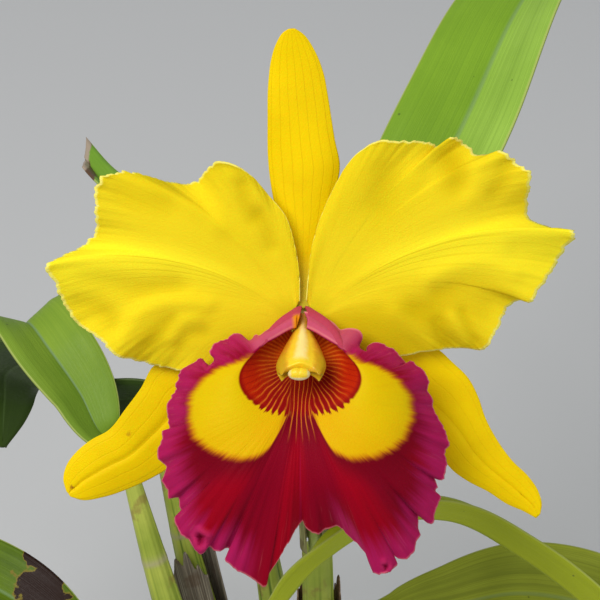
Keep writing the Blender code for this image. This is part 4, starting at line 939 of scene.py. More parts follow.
lipMargin = [
    (-180, 18.6, 7), (-166, 17.7, 6.5), (-150, 17, 6.5), (-132, 17.2, 7), (-124, 21.6, 6.5),
    (-110, 26, 5.5), (-104, 25, 9), (-100, 28, 7), (-96, 32, 5), (-87, 35, 5), (-74.5, 38.8, 6),
    (-63, 44.2, 7), (-52.5, 49, 8), (-44, 49, 8), (-40, 53.3, 9), (-29.5, 55, 10), (-27, 51.2, 11),
    (-18.5, 56, 11), (-9.5, 57.4, 12), (-7, 48, 13), (0, 39.2, 14), (7, 42.5, 13), (15, 41.5, 13.5),
    (18, 48.5, 12), (21, 56.9, 11), (25.3, 58.1, 10.5), (28.5, 55, 10.5), (30.5, 56.2, 10),
    (35.7, 57, 9.5), (40.2, 51.5, 9), (43, 54.4, 8.5), (45.2, 53.9, 8.5), (49.6, 51, 8),
    (53.5, 47.8, 8), (64, 45.6, 7), (70, 43, 7.5), (74.7, 39, 7.5), (80.5, 37.5, 6), (87, 36.5, 5),
    (94, 33.6, 5), (98, 31, 6), (107, 26.4, 6.5), (112, 23.2, 7), (115.5, 18.6, 10), (119, 19.2, 8),
    (123, 20.6, 7), (139.5, 18, 6.5), (154, 16, 6.5), (180, 18.4, 7),
]
lipCrest = [
    (-180, 14.6, 9), (-150, 13.4, 11), (-120, 14.6, 15), (-90, 16.8, 18.5), (-60, 14, 19),
    (-30, 10.6, 18), (0, 9.6, 16.5), (30, 10.6, 18), (60, 14, 19), (90, 16.8, 18.5),
    (120, 14.6, 15), (150, 13.4, 11), (180, 14.6, 9),
]
lipBlade = [
    (-180, 16.6, 9.5), (-150, 15.2, 10.5), (-120, 17.5, 13), (-90, 26, 15), (-60, 29.5, 19.5),
    (-30, 32, 21.5), (0, 25.5, 20), (30, 32, 21.5), (60, 29.5, 19.5), (90, 26.5, 15),
    (120, 17, 13), (150, 15.2, 10.5), (180, 16.6, 9.5),
]
lipOutline = [  # the ruffled margin as seen along the lip's axis, from top left round to top right
    (-0.8, 1.8), (-2.9, 0.8), (-5.3, -0.6), (-8, -2.2), (-10.7, -3.8), (-12.3, -4.9), (-13.3, -4.6),
    (-14.1, -5.9), (-15, -6.5), (-16, -5.7), (-17.9, -4.3), (-19.8, -4.6), (-21.4, -5.9), (-23.3, -6.2),
    (-25.4, -8.1), (-25.8, -9.4), (-25, -11), (-24.3, -12.1), (-24.9, -13.4), (-26.3, -13.7),
    (-27.8, -13.2), (-28, -11.5), (-29.3, -11.3), (-30.5, -12.6), (-32.4, -13.5), (-33.8, -14.5),
    (-34.9, -16.4), (-35.4, -18), (-35.4, -19.9), (-36.7, -21.5), (-37.1, -22.8), (-38, -24.4),
    (-38.1, -26), (-37.9, -27.6), (-37.4, -29.7), (-37.1, -30.9), (-39.3, -31.6), (-39, -32.9),
    (-39.5, -34.5), (-40.3, -36.9), (-40.3, -38.8), (-39.2, -40.3), (-38.1, -41.4), (-38.5, -43.2),
    (-39.2, -44.8), (-38.6, -46.7), (-37.8, -48.3), (-37.6, -50.1), (-36.2, -49.9), (-34.9, -50.4),
    (-34.6, -51.7), (-33.8, -53.3), (-33.2, -54.6), (-34.3, -54.9), (-35.7, -55.2), (-35.4, -56.7),
    (-34.5, -58.8), (-32.9, -60.6), (-31.3, -61.9), (-30, -63.5), (-28.4, -65.3), (-27, -64),
    (-26.5, -63.2), (-24.9, -64.1), (-23, -64.6), (-21.7, -63.8), (-20.1, -64.1), (-19.8, -65.2),
    (-21.2, -66.2), (-21.7, -67), (-20.1, -68.3), (-18.5, -69.7), (-16.4, -70.7), (-14.3, -72),
    (-12.1, -73), (-10.3, -73.7), (-9.9, -73.2), (-9.8, -71.1), (-8.4, -68.9), (-7.4, -67.3),
    (-5.3, -63.5), (-3.7, -60.8), (-2.6, -58.7), (-1.6, -57.1), (-0.2, -55.8), (0.3, -56.3), (1.1, -57.7),
    (2.6, -58.8), (4.2, -59.2), (5.8, -58.5), (7.9, -57.7), (10, -57.3), (11.1, -58.3), (13.2, -60.5),
    (14.8, -61.9), (16.9, -64.3), (19.1, -66.5), (20.1, -67.6), (20.4, -68.6), (19.3, -69.9),
    (21.2, -70.5), (23.3, -70.1), (24.9, -69.2), (26, -68.1), (25.5, -66.6), (25.2, -65.8), (26.5, -66.3),
    (28.7, -66.4), (30.3, -65.1), (31.1, -63.5), (31.4, -61.9), (32.4, -60.4), (31.9, -58.2),
    (32.2, -56.1), (31.9, -55.1), (33, -55.6), (34.1, -56.4), (35.9, -57.3), (36.5, -55.1), (37.3, -52.5),
    (38.1, -49.3), (36.8, -48.8), (37.3, -46.7), (36.8, -44.8), (38.9, -44.8), (39.5, -43), (39.8, -40.9),
    (39.8, -36.6), (40.6, -35.6), (40, -32.3), (39, -30.2), (37.9, -27.8), (36.3, -25.7), (36.2, -22.8),
    (34.9, -19.6), (35.2, -18), (34.4, -15.9), (33.3, -14.5), (31.6, -13.2), (30.3, -12), (29.2, -13.4),
    (28.1, -12.1), (27.3, -10.5), (25.7, -8.9), (23.8, -8.3), (21.9, -7), (19.7, -6.9), (18.1, -8),
    (17.7, -9.7), (16.9, -10.2), (15.7, -8.5), (16, -6.7), (16.6, -5.1), (15.8, -3.5), (13.9, -2.9),
    (11.8, -3), (10.7, -3.3), (8.6, -1.4), (5.4, 0.5), (2.7, 1.6), (0.3, 1.8)]
lipMake = {
    "columns": 400, "rows": 108, "slit": 2.0, "thickness": 0.65, "rimThickness": 0.3,
    "pleatDegrees": 30.0, "pleatHeight": 1.1, "ruffleHeight": 0.8, "frill": 0.45, "teeth": 0.42, "keel": 0.8,
    "mouthX": -0.8, "mouthY": -16.6, "throatX": -0.55, "throatY": -12.2, "crestAt": 0.46,
    "curls": [  # where each is, its width and its depth
        (-28.2, -60.6, 2.3, 2.4), (22.8, -68.4, 1.5, 1.6), (-26.2, -12.4, 1.3, 1.2)],
}
eyeEdge = levels(  # how far from the mouth's middle the yellow reaches, by angle from straight down
    [10.0, 19.5, 24.1, 27.5, 30.2, 32.0, 32.8, 32.4, 30.3, 28.0, 25.6, 23.0, 20.0, 17.8, 15.0, 9.0],
    [20.0, 24.0, 30.0, 39.0, 48.0, 56.0, 62.0, 73.0, 82.0, 88.0, 92.0, 97.0, 102.0, 106.0, 117.0, 130.0])


def lipRing(ring, angle):
    distance, height = curveThrough([point[1:] for point in ring], [point[0] for point in ring])(angle).T
    turn = np.radians(angle)
    return np.stack([lipMake["mouthX"] + distance * np.sin(turn),
                     lipMake["mouthY"] - distance * np.cos(turn), height], axis=1)


def lipFoot(turn):
    y = -1.2 - 4.4 * np.cos(turn)
    return np.stack([4.4 * np.sin(turn), y, 1.45 + math.tan(lipLean) * y], axis=1)


def lipTube(turn):
    height = 1.5 * np.sin(turn) ** 2 - 1.2 * np.cos(turn) - 1.2 * np.sin(turn / 2) ** 4
    return np.stack([10.4 * np.sin(turn), -7.1 - 8.4 * np.cos(turn), 7.5 + height], axis=1)


def lipRuffle():  # the margin's points and, for each, the heading of the vein that ends there
    s = np.linspace(0, 1, lipMake["columns"])
    flat = curveThrough(lipOutline)(s)
    dx, dy = flat[:, 0] - lipMake["mouthX"], lipMake["mouthY"] - flat[:, 1]
    heading = np.degrees(np.arctan2(dx, dy))
    heading = np.where(np.abs(s - 0.5) > 0.4, np.sign(s - 0.5) * np.abs(heading), heading)
    rising = (np.maximum.accumulate(heading) + np.minimum.accumulate(heading[::-1])[::-1]) / 2
    angle = spread(rising, 3) * (180.0 - lipMake["slit"]) / 180.0
    distance = np.hypot(dx, dy)
    lobes = distance - spread(distance, 9)
    height = lipRing(lipMargin, angle)[:, 2]
    step = np.linalg.norm(np.gradient(flat, axis=0), axis=1)
    radial = np.abs(np.gradient(distance)) / np.maximum(step, 1e-6)
    frill = np.sin(s * 2 * math.pi * 82 + 5.0 * roughLine(s, 14.0, 2.0)) * lipMake["frill"]
    frill = frill * smoothRise(spread(radial, 4), 0.9, 0.5)
    away = smoothRise(np.abs(angle), 128.0, 112.0)
    soften = 1 - 0.55 * smoothRise(np.abs(angle), 62.0, 40.0)
    height = height + (lipMake["ruffleHeight"] * np.clip(lobes, -2.2, 2.2) * soften + frill) * away
    outward = np.stack([dx, -dy], axis=1) / distance[:, None]
    teeth = (roughLine(s, 240.0, 9.0) + roughLine(s, 420.0, 13.0)) * lipMake["teeth"] * away
    flat = flat + outward * teeth[:, None]
    return np.column_stack([flat, height]), angle


def curlDistance(place, x, y):  # from the middle of a curl, which is longer one way and uneven
    dx, dy = place[..., 0] - x, place[..., 1] - y
    turn = np.arctan2(dy, dx)
    return np.hypot(dx * 1.25, dy * 0.85) * (1 + 0.12 * np.sin(3 * turn + x) + 0.08 * np.sin(5 * turn + y))


def lipGrid():
    ruffle, angle = lipRuffle()
    v = 1 - (1 - np.linspace(0, 1, lipMake["rows"])) ** 1.2
    turn = np.radians(angle)
    margin, crest, blade = (lipRing(ring, angle) for ring in (lipMargin, lipCrest, lipBlade))
    stops = [0.0, 0.22, lipMake["crestAt"], 0.74, 1.0]
    place = curveThrough(np.stack([lipFoot(turn), lipTube(turn), crest, blade, margin]), stops)(v)
    column = v[:, None]
    opened = np.maximum(0.0, (column - lipMake["crestAt"]) / (1 - lipMake["crestAt"]))
    lowerHalf = np.maximum(0.0, np.cos(np.radians(angle * 0.62))) ** 2
    pleat = np.cos(np.radians(angle * 360.0 / lipMake["pleatDegrees"] + 40.0)) * lowerHalf
    place[..., 2] += lipMake["pleatHeight"] * pleat * opened ** 1.5
    ruffling = np.clip((column - 0.72) / 0.28, 0, 1) ** 1.7
    place += (ruffle - margin)[None] * ruffling[..., None]
    keel = np.exp(-(angle / 3.0) ** 2)
    place[..., 2] -= lipMake["keel"] * keel * smoothRise(column, 0.55, 0.8)
    place[..., 2] += roughLine(angle, 0.9, 3.0) * 0.14 * smoothRise(column, 0.5, 0.7)
    for x, y, width, depth in lipMake["curls"]:
        away = curlDistance(place, x, y)
        place[..., 2] += (0.7 * depth * np.exp(-((away - width) / (0.35 * width)) ** 2)
                          - depth * np.exp(-(away / (0.6 * width)) ** 2))
    return place, angle, column, pleat


def lipFields(place, angle, column, pleat):
    steps = np.linalg.norm(np.diff(place, axis=0), axis=-1)
    walked = np.concatenate([np.zeros((1, steps.shape[1])), np.cumsum(steps, axis=0)])
    crestRow = np.argmin(np.abs(column[:, 0] - lipMake["crestAt"]))
    dx = place[..., 0] - lipMake["mouthX"]
    dy = lipMake["mouthY"] - place[..., 1]
    distance = np.hypot(dx, dy)
    away = np.abs(np.degrees(np.arctan2(dx, dy)))
    outer = eyeEdge(np.clip(away, 20.0, 130.0)) - distance
    inner = (away - 16.5) * distance * math.pi / 180.0
    top = (121.0 - away) * distance * math.pi / 180.0
    throatX, throatY = place[..., 0] - lipMake["throatX"], lipMake["throatY"] - place[..., 1]
    fold = smoothRise(np.abs(angle), 118.0, 132.0) * smoothRise(column, 0.5, 0.6)
    # painted shade in the middle of each curl, and a painted highlight round it
    curlShadeMask, curlHighlightMask = 0.0, 0.0
    for x, y, width, _ in lipMake["curls"]:
        gap = curlDistance(place, x, y)
        curlShadeMask = curlShadeMask + np.exp(-(gap / (0.6 * width)) ** 2)
        curlHighlightMask = curlHighlightMask + np.exp(-((gap - width) / (0.3 * width)) ** 2)
    return {
        "angle": np.broadcast_to(angle, distance.shape),
        "edge": walked[-1] - walked,
        "mouth": walked - walked[crestRow],
        "eye": np.minimum(np.minimum(outer, inner), top),
        "pleat": pleat + 0 * column,
        "fold": fold,
        "sliver": smoothRise(place[..., 0], -2.9, -2.6) * (angle < -150) * smoothRise(column, 0.2, 0.3),
        "ray": np.arctan2(throatX, throatY) / math.pi,
        "reach": np.hypot(throatX, throatY),
        "curl": np.clip(curlShadeMask, 0, 1),
        "curlRimHighlight": np.clip(curlHighlightMask, 0, 1),
    }


def buildLip():
    place, angle, column, pleat = lipGrid()
    fields = lipFields(place, angle, column, pleat)
    rim = smoothRise(fields["edge"], 4.0, 0.0)
    thickness = (lipMake["thickness"] * (1 - rim) + lipMake["rimThickness"] * rim) * mm
    piece = sheetPiece("lip_blade", inFrame(lipMatrix, place)[:, ::-1], thickness[:, ::-1],
                       {label: values[:, ::-1] for label, values in fields.items()})
    dress(piece, "lip", lipSkin())


buildLip()
print("lip ready")


# The column and its cap

columnMake = {"level": 1.0, "length": 26.0, "lean": 22.0, "tooth": 3.0, "ridge": 0.9, "swing": -0.8}
leanTurn = math.radians(columnMake["lean"])
columnAlong = np.array([0.0, -math.sin(leanTurn), math.cos(leanTurn)])
columnBack = np.array([0.0, math.cos(leanTurn), math.sin(leanTurn)])


def buildColumn():
    t = np.linspace(0, 1, 90)[:, None]
    angle = np.linspace(0, 2 * math.pi, 80, endpoint=False)[None]
    width = levels([2.4, 2.2, 3.3, 4.7, 5.9, 6.8, 6.0], [0.0, 0.18, 0.33, 0.49, 0.65, 0.81, 1.0])(t)
    depth = levels([2.2, 2.4, 2.6, 2.7, 2.2], [0.0, 0.25, 0.55, 0.85, 1.0])(t)
    end = np.clip((t - 0.955) / 0.045, 0, 1)
    closing = np.sqrt(1 - end ** 2) * 0.92 + 0.08
    across, raised = np.cos(angle), np.sin(angle)
    wing = np.abs(across) ** 3
    lift = depth * np.where(raised > 0, raised, 0.45 * raised) - 0.8 * wing * t
    ridge = np.exp(-(across / 0.35) ** 2) * np.maximum(raised, 0.0)
    lift = lift + columnMake["ridge"] * ridge * smoothRise(t, 0.1, 0.5)
    tooth = columnMake["tooth"] * np.exp(-((np.abs(across) - 0.80) / 0.13) ** 2) * smoothRise(t, 0.76, 0.955)
    length = columnMake["length"] * np.minimum(t, 0.97) + (tooth + 0.2) * (1 - end)
    sideways = width * across * closing + columnMake["swing"] * t * t
    place = (columnAlong * length[..., None] + np.array([1.0, 0.0, 0.0]) * sideways[..., None]
             + columnBack * (lift * closing)[..., None] + np.array([0.0, 0.0, columnMake["level"]]))
    dress(bodyPiece("column_body", inFrame(bloomMatrix, place)), "column", columnSkin())


capMake = {"length": 1.5, "width": 3.0, "depth": 1.8, "ahead": 1.5, "aside": -1.1}


def buildCap():
    t = np.linspace(0, math.pi, 40)[:, None]
    angle = np.linspace(0, 2 * math.pi, 48, endpoint=False)[None]
    height, out = -np.cos(t), np.sin(t) ** 0.8
    middle = (columnAlong * (columnMake["length"] + capMake["ahead"]) + columnBack
              + np.array([capMake["aside"], 0, columnMake["level"]]))
    cleft = 1 - 0.22 * np.exp(-(np.cos(angle) / 0.12) ** 2) * (np.sin(angle) > 0)
    place = (middle + columnAlong * (capMake["length"] * height + 0 * angle)[..., None]
             + np.array([1.0, 0.0, 0.0]) * (capMake["width"] * out * np.cos(angle))[..., None]
             + columnBack * (capMake["depth"] * out * np.sin(angle) * cleft)[..., None])
    fields = {"low": -out * np.sin(angle), "aside": out * np.abs(np.cos(angle))}
    piece = bodyPiece("anther_cap_body", inFrame(bloomMatrix, place), fields)
    dress(piece, "anther_cap", capSkin())


buildColumn()
buildCap()
print("column ready")


# Leaves

leaves = {
    "leaf_upper_right": {
        "spine": [(0.0100, 0.0490, 0.2500), (0.0105, 0.0535, 0.2538), (0.020, 0.082, 0.287),
                  (0.040, 0.122, 0.320), (0.0635, 0.166, 0.341), (0.081, 0.206, 0.349),
                  (0.102, 0.250, 0.342), (0.115, 0.276, 0.330)],
        "half": 0.0245, "fold": 26.0, "faces": (-0.62, -0.64, 0.77), "look": upperLeafLook},
    "leaf_left": {
        "spine": [(-0.0580, 0.0805, 0.2545), (-0.0595, 0.0830, 0.2580), (-0.0646, 0.0808, 0.2651),
                  (-0.0735, 0.0941, 0.2728), (-0.0847, 0.1084, 0.2790), (-0.0934, 0.1216, 0.2775),
                  (-0.1002, 0.1314, 0.2604), (-0.1053, 0.1374, 0.2389)],
        "half": 0.0166, "fold": 28.9, "faces": (0.193, -0.104, 0.976), "look": leafLook},
    "leaf_left_back": {
        "spine": [(-0.0462, 0.0905, 0.2432), (-0.0470, 0.0925, 0.2460), (-0.0461, 0.1008, 0.2615),
                  (-0.0643, 0.1028, 0.2588), (-0.0874, 0.1196, 0.2577), (-0.1071, 0.1310, 0.2392),
                  (-0.1139, 0.1374, 0.2114), (-0.1156, 0.1253, 0.1951)],
        "half": 0.0149, "fold": 10.3, "faces": (-0.09, -0.989, 0.113), "look": shadedLeafLook},
    "leaf_front": {
        "spine": [(-0.0080, 0.0220, 0.2280), (-0.0080, 0.0230, 0.2312), (-0.0005, 0.0235, 0.2535),
                  (0.0115, 0.0275, 0.2725), (0.030, 0.0355, 0.2810), (0.053, 0.0420, 0.2745),
                  (0.080, 0.0375, 0.2570), (0.106, 0.0270, 0.2370), (0.130, 0.0140, 0.2080)],
        "half": 0.0115, "fold": 38.0, "faces": (-0.20, 0.70, 0.70), "look": frontLeafLook},
    "leaf_middle_cut": {
        "spine": [(-0.0115, 0.0695, 0.2530), (-0.0261, 0.1012, 0.2730), (-0.0412, 0.1343, 0.2840),
                  (-0.0572, 0.1690, 0.2840), (-0.0750, 0.1993, 0.2725), (-0.0889, 0.2286, 0.2642)],
        "half": 0.0097, "fold": 35.2, "faces": (0.411, -0.142, 0.900), "look": cutLeafLook, "slant": 0.159},
    "leaf_right_low": {
        "spine": [(0.0300, 0.0505, 0.1805), (0.0305, 0.0525, 0.1832), (0.042, 0.052, 0.193),
                  (0.060, 0.052, 0.198), (0.085, 0.054, 0.203), (0.114, 0.051, 0.198),
                  (0.140, 0.043, 0.184), (0.162, 0.034, 0.164)],
        "half": 0.0200, "fold": 22.0, "faces": (-0.15, -0.30, 0.95), "look": lowLeafLook},
    "leaf_left_low": {
        "spine": [(-0.0662, 0.0280, 0.1785), (-0.0675, 0.0295, 0.1810), (-0.078, 0.037, 0.193),
                  (-0.096, 0.049, 0.201), (-0.117, 0.061, 0.202), (-0.140, 0.074, 0.192),
                  (-0.157, 0.084, 0.178)],
        "half": 0.0172, "fold": 20.0, "faces": (0.20, -0.30, 0.95), "look": agedLeafLook,
        "rot": [((-0.0933, 0.0556, 0.2051), 0.0085), ((-0.0896, 0.0529, 0.2040), 0.0080),
                ((-0.0905, 0.0594, 0.2077), 0.0050), ((-0.0932, 0.0642, 0.2101), 0.0042),
                ((-0.0960, 0.0661, 0.2106), 0.0032)]},
}
leafMake = {"columns": 33, "rows": 150, "thickness": 0.0017, "rimThickness": 0.0008, "baseFold": 62.0,
            "foldLength": 0.22, "soft": 0.07, "wave": 0.0006}


def leafGrid(leaf):
    across = np.linspace(-1, 1, leafMake["columns"])[None]
    column = np.linspace(0, 1, leafMake["rows"])[:, None]
    slant = leaf.get("slant", 0.0)
    v = column * (1 - slant * (1 - across) / 2)
    spine = curveThrough(leaf["spine"])
    here = spine(v)
    along = spine(np.minimum(v + 0.01, 1.0)) - spine(np.maximum(v - 0.01, 0.0))
    side = unit(np.cross(along, np.array(leaf["faces"])))
    up = unit(np.cross(side, along))
    taper = (0.74, 0.62) if slant else (0.58, 0.07)
    share = levels([0.15, 0.26, 0.68, 0.98, 1.0, 0.88, *taper],
                   [0.0, 0.05, 0.20, 0.42, 0.60, 0.80, 0.93, 1.0])(v)
    slope = np.radians(leaf["fold"] + (leafMake["baseFold"] - leaf["fold"])
                       * np.maximum(0.0, 1.0 - v / leafMake["foldLength"]) ** 1.5)
    reach = leaf["half"] * share
    soft = leafMake["soft"]
    bent = np.sqrt(across ** 2 + soft ** 2) - soft
    channel = -0.03 * np.exp(-(across / 0.09) ** 2)
    lift = reach * (bent * np.sin(slope) + channel - 0.05 * smoothRise(np.abs(across), 0.7, 1.0))
    wave = np.sin(column * 17 + 2 * across) * smoothRise(np.abs(across), 0.3, 1.0)
    lift = lift + leafMake["wave"] * (wave * smoothRise(column, 0.1, 0.3))
    return here + side * (reach * across * np.cos(slope))[..., None] + up * lift[..., None]


def buildLeaves():
    for name, leaf in leaves.items():
        grid = leafGrid(leaf)
        across = np.abs(np.linspace(-1, 1, leafMake["columns"]))[None]
        rim = smoothRise(across, 0.8, 1.0)
        thickness = leafMake["thickness"] * (1 - rim) + leafMake["rimThickness"] * rim
        skin = leafSkin(name + "_skin", leaf["look"], leaf.get("rot"), "slant" in leaf)
        dress(sheetPiece(name + "_blade", grid, thickness), name, skin)


buildLeaves()
print("leaves ready")


# Pseudobulbs

bulbs = {  # foot on the mix, top, fullest radius, radius of the top
    "pseudobulb_flowering": ((0.014, 0.002), (0.010, 0.047, 0.250), 0.0068, 0.0052),
    "pseudobulb_left_front": ((-0.009, 0.001), (-0.058, 0.080, 0.255), 0.0064, 0.0027),
    "pseudobulb_left_back": ((-0.014, 0.034), (-0.046, 0.090, 0.243), 0.0060, 0.0027),
    "pseudobulb_front": ((-0.002, -0.026), (-0.008, 0.022, 0.228), 0.0064, 0.0030),
    "pseudobulb_middle": ((0.004, 0.041), (-0.011, 0.066, 0.250), 0.0060, 0.0029),
    "pseudobulb_right": ((0.026, 0.028), (0.030, 0.050, 0.180), 0.0062, 0.0029),
    "pseudobulb_left_low": ((-0.036, -0.010), (-0.066, 0.028, 0.178), 0.0062, 0.0029),
}
bulbMake = {"footHeight": 0.1155, "columns": 64, "rows": 110, "rings": (0.30, 0.56, 0.80),
            "footRadius": 0.0042}


def bulbFrame(name):
    foot, top, full, end = bulbs[name]
    start = np.array([*foot, bulbMake["footHeight"]])
    axis = np.array(top) - start
    side = unit(np.cross(axis, [0.0, 1.0, 0.0]))
    front = unit(np.cross(side, axis))
    small = bulbMake["footRadius"]
    width = levels([small, small * 1.1, full * 0.88, full, full * 0.84, end],
                   [0.0, 0.08, 0.26, 0.44, 0.70, 1.0])

    def centre(t):
        bend = np.array([0.0, -0.2 * axis[1], 0.0])
        return start + axis * t[..., None] + bend * np.sin(math.pi * t)[..., None]

    return centre, side, front, width


def bulbGrid(name, seed):
    centre, side, front, width = bulbFrame(name)
    t = np.linspace(0, 1, bulbMake["rows"])
    angle = np.linspace(0, 2 * math.pi, bulbMake["columns"], endpoint=False)[None]
    column = t[:, None]
    grooves = 0.6 * np.cos(6 * angle) + 0.45 * np.cos(13 * angle + seed) + 0.3 * np.cos(19 * angle - 2 * seed)
    grooves = grooves * np.sin(math.pi * column) ** 0.6
    ring = sum(np.exp(-((column - place) / 0.006) ** 2) for place in bulbMake["rings"])
    cap = np.sqrt(np.clip(1 - np.maximum(0.0, (column - 0.985) / 0.015) ** 2, 0.0, 1.0)) * 0.85 + 0.15
    radius = width(column) * (1 + 0.05 * grooves + 0.035 * ring) * cap
    flat = 1.0 - 0.12 * smoothRise(column, 0.15, 0.35)
    place = (centre(t)[:, None] + side * (radius * np.cos(angle))[..., None]
             + front * (radius * flat * np.sin(angle))[..., None])
    return place, grooves, np.clip(ring, 0, 1)


def buildBulbs():
    skin = bulbSkin()
    for number, name in enumerate(bulbs):
        place, grooves, ring = bulbGrid(name, 1.0 + number)
        piece = bodyPiece(name + "_body", place, {"groove": grooves, "ring": ring})
        dress(piece, name, skin)


buildBulbs()
print("pseudobulbs ready")


# Dry sheaths, the flower's sheath and the stalk

drySheaths = {
    "dry_sheath_flowering": {"bulb": "pseudobulb_flowering", "low": 0.06, "high": 0.84, "slit": 100.0,
                             "spread": 1.16, "light": (0.36, 0.24, 0.14), "dark": (0.17, 0.10, 0.06)},
    "dry_sheath_left": {"bulb": "pseudobulb_left_back", "low": 0.06, "high": 0.72, "slit": 200.0,
                        "spread": 1.7, "light": (0.34, 0.30, 0.23), "dark": (0.15, 0.12, 0.09)},
}


sheathMake = {"opening": 50.0, "clearance": 0.0012, "thickness": 0.0005, "fibres": 120.0}


def buildDrySheaths():
    for name, sheath in drySheaths.items():
        centre, side, front, width = bulbFrame(sheath["bulb"])
        u = np.linspace(0, 1, 90)[None]
        v = np.linspace(0, 1, 70)[:, None]
        opening = math.radians(sheathMake["opening"])
        angle = math.radians(sheath["slit"]) + opening / 2 + u * (2 * math.pi - opening)
        ragged = 0.04 * np.sin(9 * u) + 0.03 * np.sin(23 * u + sheath["slit"])
        ragged += 0.05 * roughLine(u, 38.0, 2.0)
        t = sheath["low"] + (sheath["high"] - sheath["low"]) * v * (1.0 + ragged * v)
        crumple = 1 + 0.05 * roughLine(u, 30.0, 4.0) * smoothRise(v, 0.0, 0.4) + 0.03 * np.cos(13 * angle)
        radius = (width(t) + sheathMake["clearance"]) * (1.0 + (sheath["spread"] - 1.0) * v * v) * crumple
        flat = 1.0 - 0.12 * smoothRise(t, 0.15, 0.35)
        grid = (centre(t) + side * (radius * np.cos(angle))[..., None]
                + front * (radius * flat * np.sin(angle))[..., None])
        skin = paperSkin(name + "_paper", sheath["light"], sheath["dark"], sheathMake["fibres"])
        piece = sheetPiece(name + "_wrap", grid, sheathMake["thickness"])
        dress(piece, name, skin)


bloomBack = np.array([0.0, math.sin(bloomTilt), -math.cos(bloomTilt)])
bloomCentre = np.array(bloomMake["centre"])
stalkCentre = curveThrough([
    (0.0095, 0.0430, 0.2518), (0.0085, 0.0440, 0.275), (0.0068, 0.0495, 0.305), (0.0055, 0.0590, 0.332),
    tuple(bloomCentre + bloomBack * 0.020), tuple(bloomCentre + bloomBack * 0.009),
    tuple(bloomCentre + bloomBack * 0.0021)])


def buildStalk():
    t = np.linspace(0, 1, 90)
    width = levels([2.4, 2.2, 2.3, 3.2, 3.0, 3.6], [0.0, 0.3, 0.66, 0.84, 0.93, 1.0])(t) * mm
    angle = np.linspace(0, 2 * math.pi, 32, endpoint=False)[None]
    radius = width[:, None] * (1 + 0.035 * np.cos(5 * angle + 2 * t[:, None]))
    path = stalkCentre(t)
    path[0] -= np.array([0.0, -0.0005, 0.002])
    piece = bodyPiece("flower_stalk_body", tubeGrid(path, radius, 32))
    dress(piece, "flower_stalk", stalkSkin())


flowerSheath = {"wide": 0.0050, "deep": 0.0040, "thickness": 0.0005, "opening": 70.0, "fibres": 90.0,
                "light": (0.48, 0.50, 0.20), "dark": (0.34, 0.30, 0.13)}


def buildFlowerSheath():
    u = np.linspace(0, 1, 60)[None]
    v = np.linspace(0, 1, 60)[:, None]
    opening = math.radians(flowerSheath["opening"])
    ragged = 0.02 * roughLine(u, 30.0, 7.0)
    pointUp = (0.07 * (1.0 - np.abs(2 * u - 1)) + ragged) * v * v
    centre = stalkCentre(0.025 + 0.38 * v + pointUp)
    angle = math.radians(-90.0) + opening / 2 + u * (2 * math.pi - opening)
    closing = (1.0 - 0.2 * v) * (1 + 0.03 * roughLine(u, 12.0, 3.0))
    wide, deep = flowerSheath["wide"], flowerSheath["deep"]
    offset = np.stack([np.cos(angle) * wide * closing, np.sin(angle) * deep * closing, 0 * closing], axis=-1)
    light, dark = flowerSheath["light"], flowerSheath["dark"]
    skin = paperSkin("flower_sheath_paper", light, dark, flowerSheath["fibres"])
    piece = sheetPiece("flower_sheath_wrap", centre + offset, flowerSheath["thickness"])
    dress(piece, "flower_sheath", skin)


buildDrySheaths()
buildStalk()
buildFlowerSheath()
print("sheaths and stalk ready")


# The rhizome with its roots

branches = [
    [(-0.036, 0.026), (-0.014, 0.034), (0.004, 0.041), (0.016, 0.036), (0.026, 0.028), (0.036, 0.018)],
    [(0.004, 0.041), (0.012, 0.022), (0.014, 0.002), (0.007, -0.014), (-0.002, -0.026), (-0.012, -0.034)],
    [(-0.014, 0.034), (-0.014, 0.018), (-0.009, 0.001), (-0.024, -0.006), (-0.036, -0.010), (-0.046, -0.010)],
]
rhizomeMake = {"radius": 0.0062, "height": 0.1125, "rootRadius": 0.0016, "roots": 12, "reach": 0.024,
               "limit": 0.052, "seed": 11}


def rootRoutes():
    rng = random.Random(rhizomeMake["seed"])
    routes = []
    for number in range(rhizomeMake["roots"]):
        branch = branches[number % len(branches)]
        x, y = curveThrough(branch)(rng.uniform(0.08, 0.92))
        outward = math.atan2(y, x) + rng.uniform(-0.9, 0.9)
        reach = min(rhizomeMake["reach"] * rng.uniform(0.6, 1.0), rhizomeMake["limit"] - math.hypot(x, y))
        points = []
        for share, height in ((0.0, 0.0), (0.35, 0.001), (0.7, -0.001), (0.95, -0.006), (1.05, -0.014)):
            heading = outward + 0.5 * share * math.sin(number * 2.1)
            points.append((x + reach * share * math.cos(heading), y + reach * share * math.sin(heading),
                           rhizomeMake["height"] + height))
        routes.append(points)
    return routes


def joinPieces(name, pieces):
    bpy.ops.object.select_all(action="DESELECT")
    for piece in pieces:
        piece.select_set(True)
    bpy.context.view_layer.objects.active = pieces[0]
    bpy.ops.object.join()
    pieces[0].name = name
    return pieces[0]


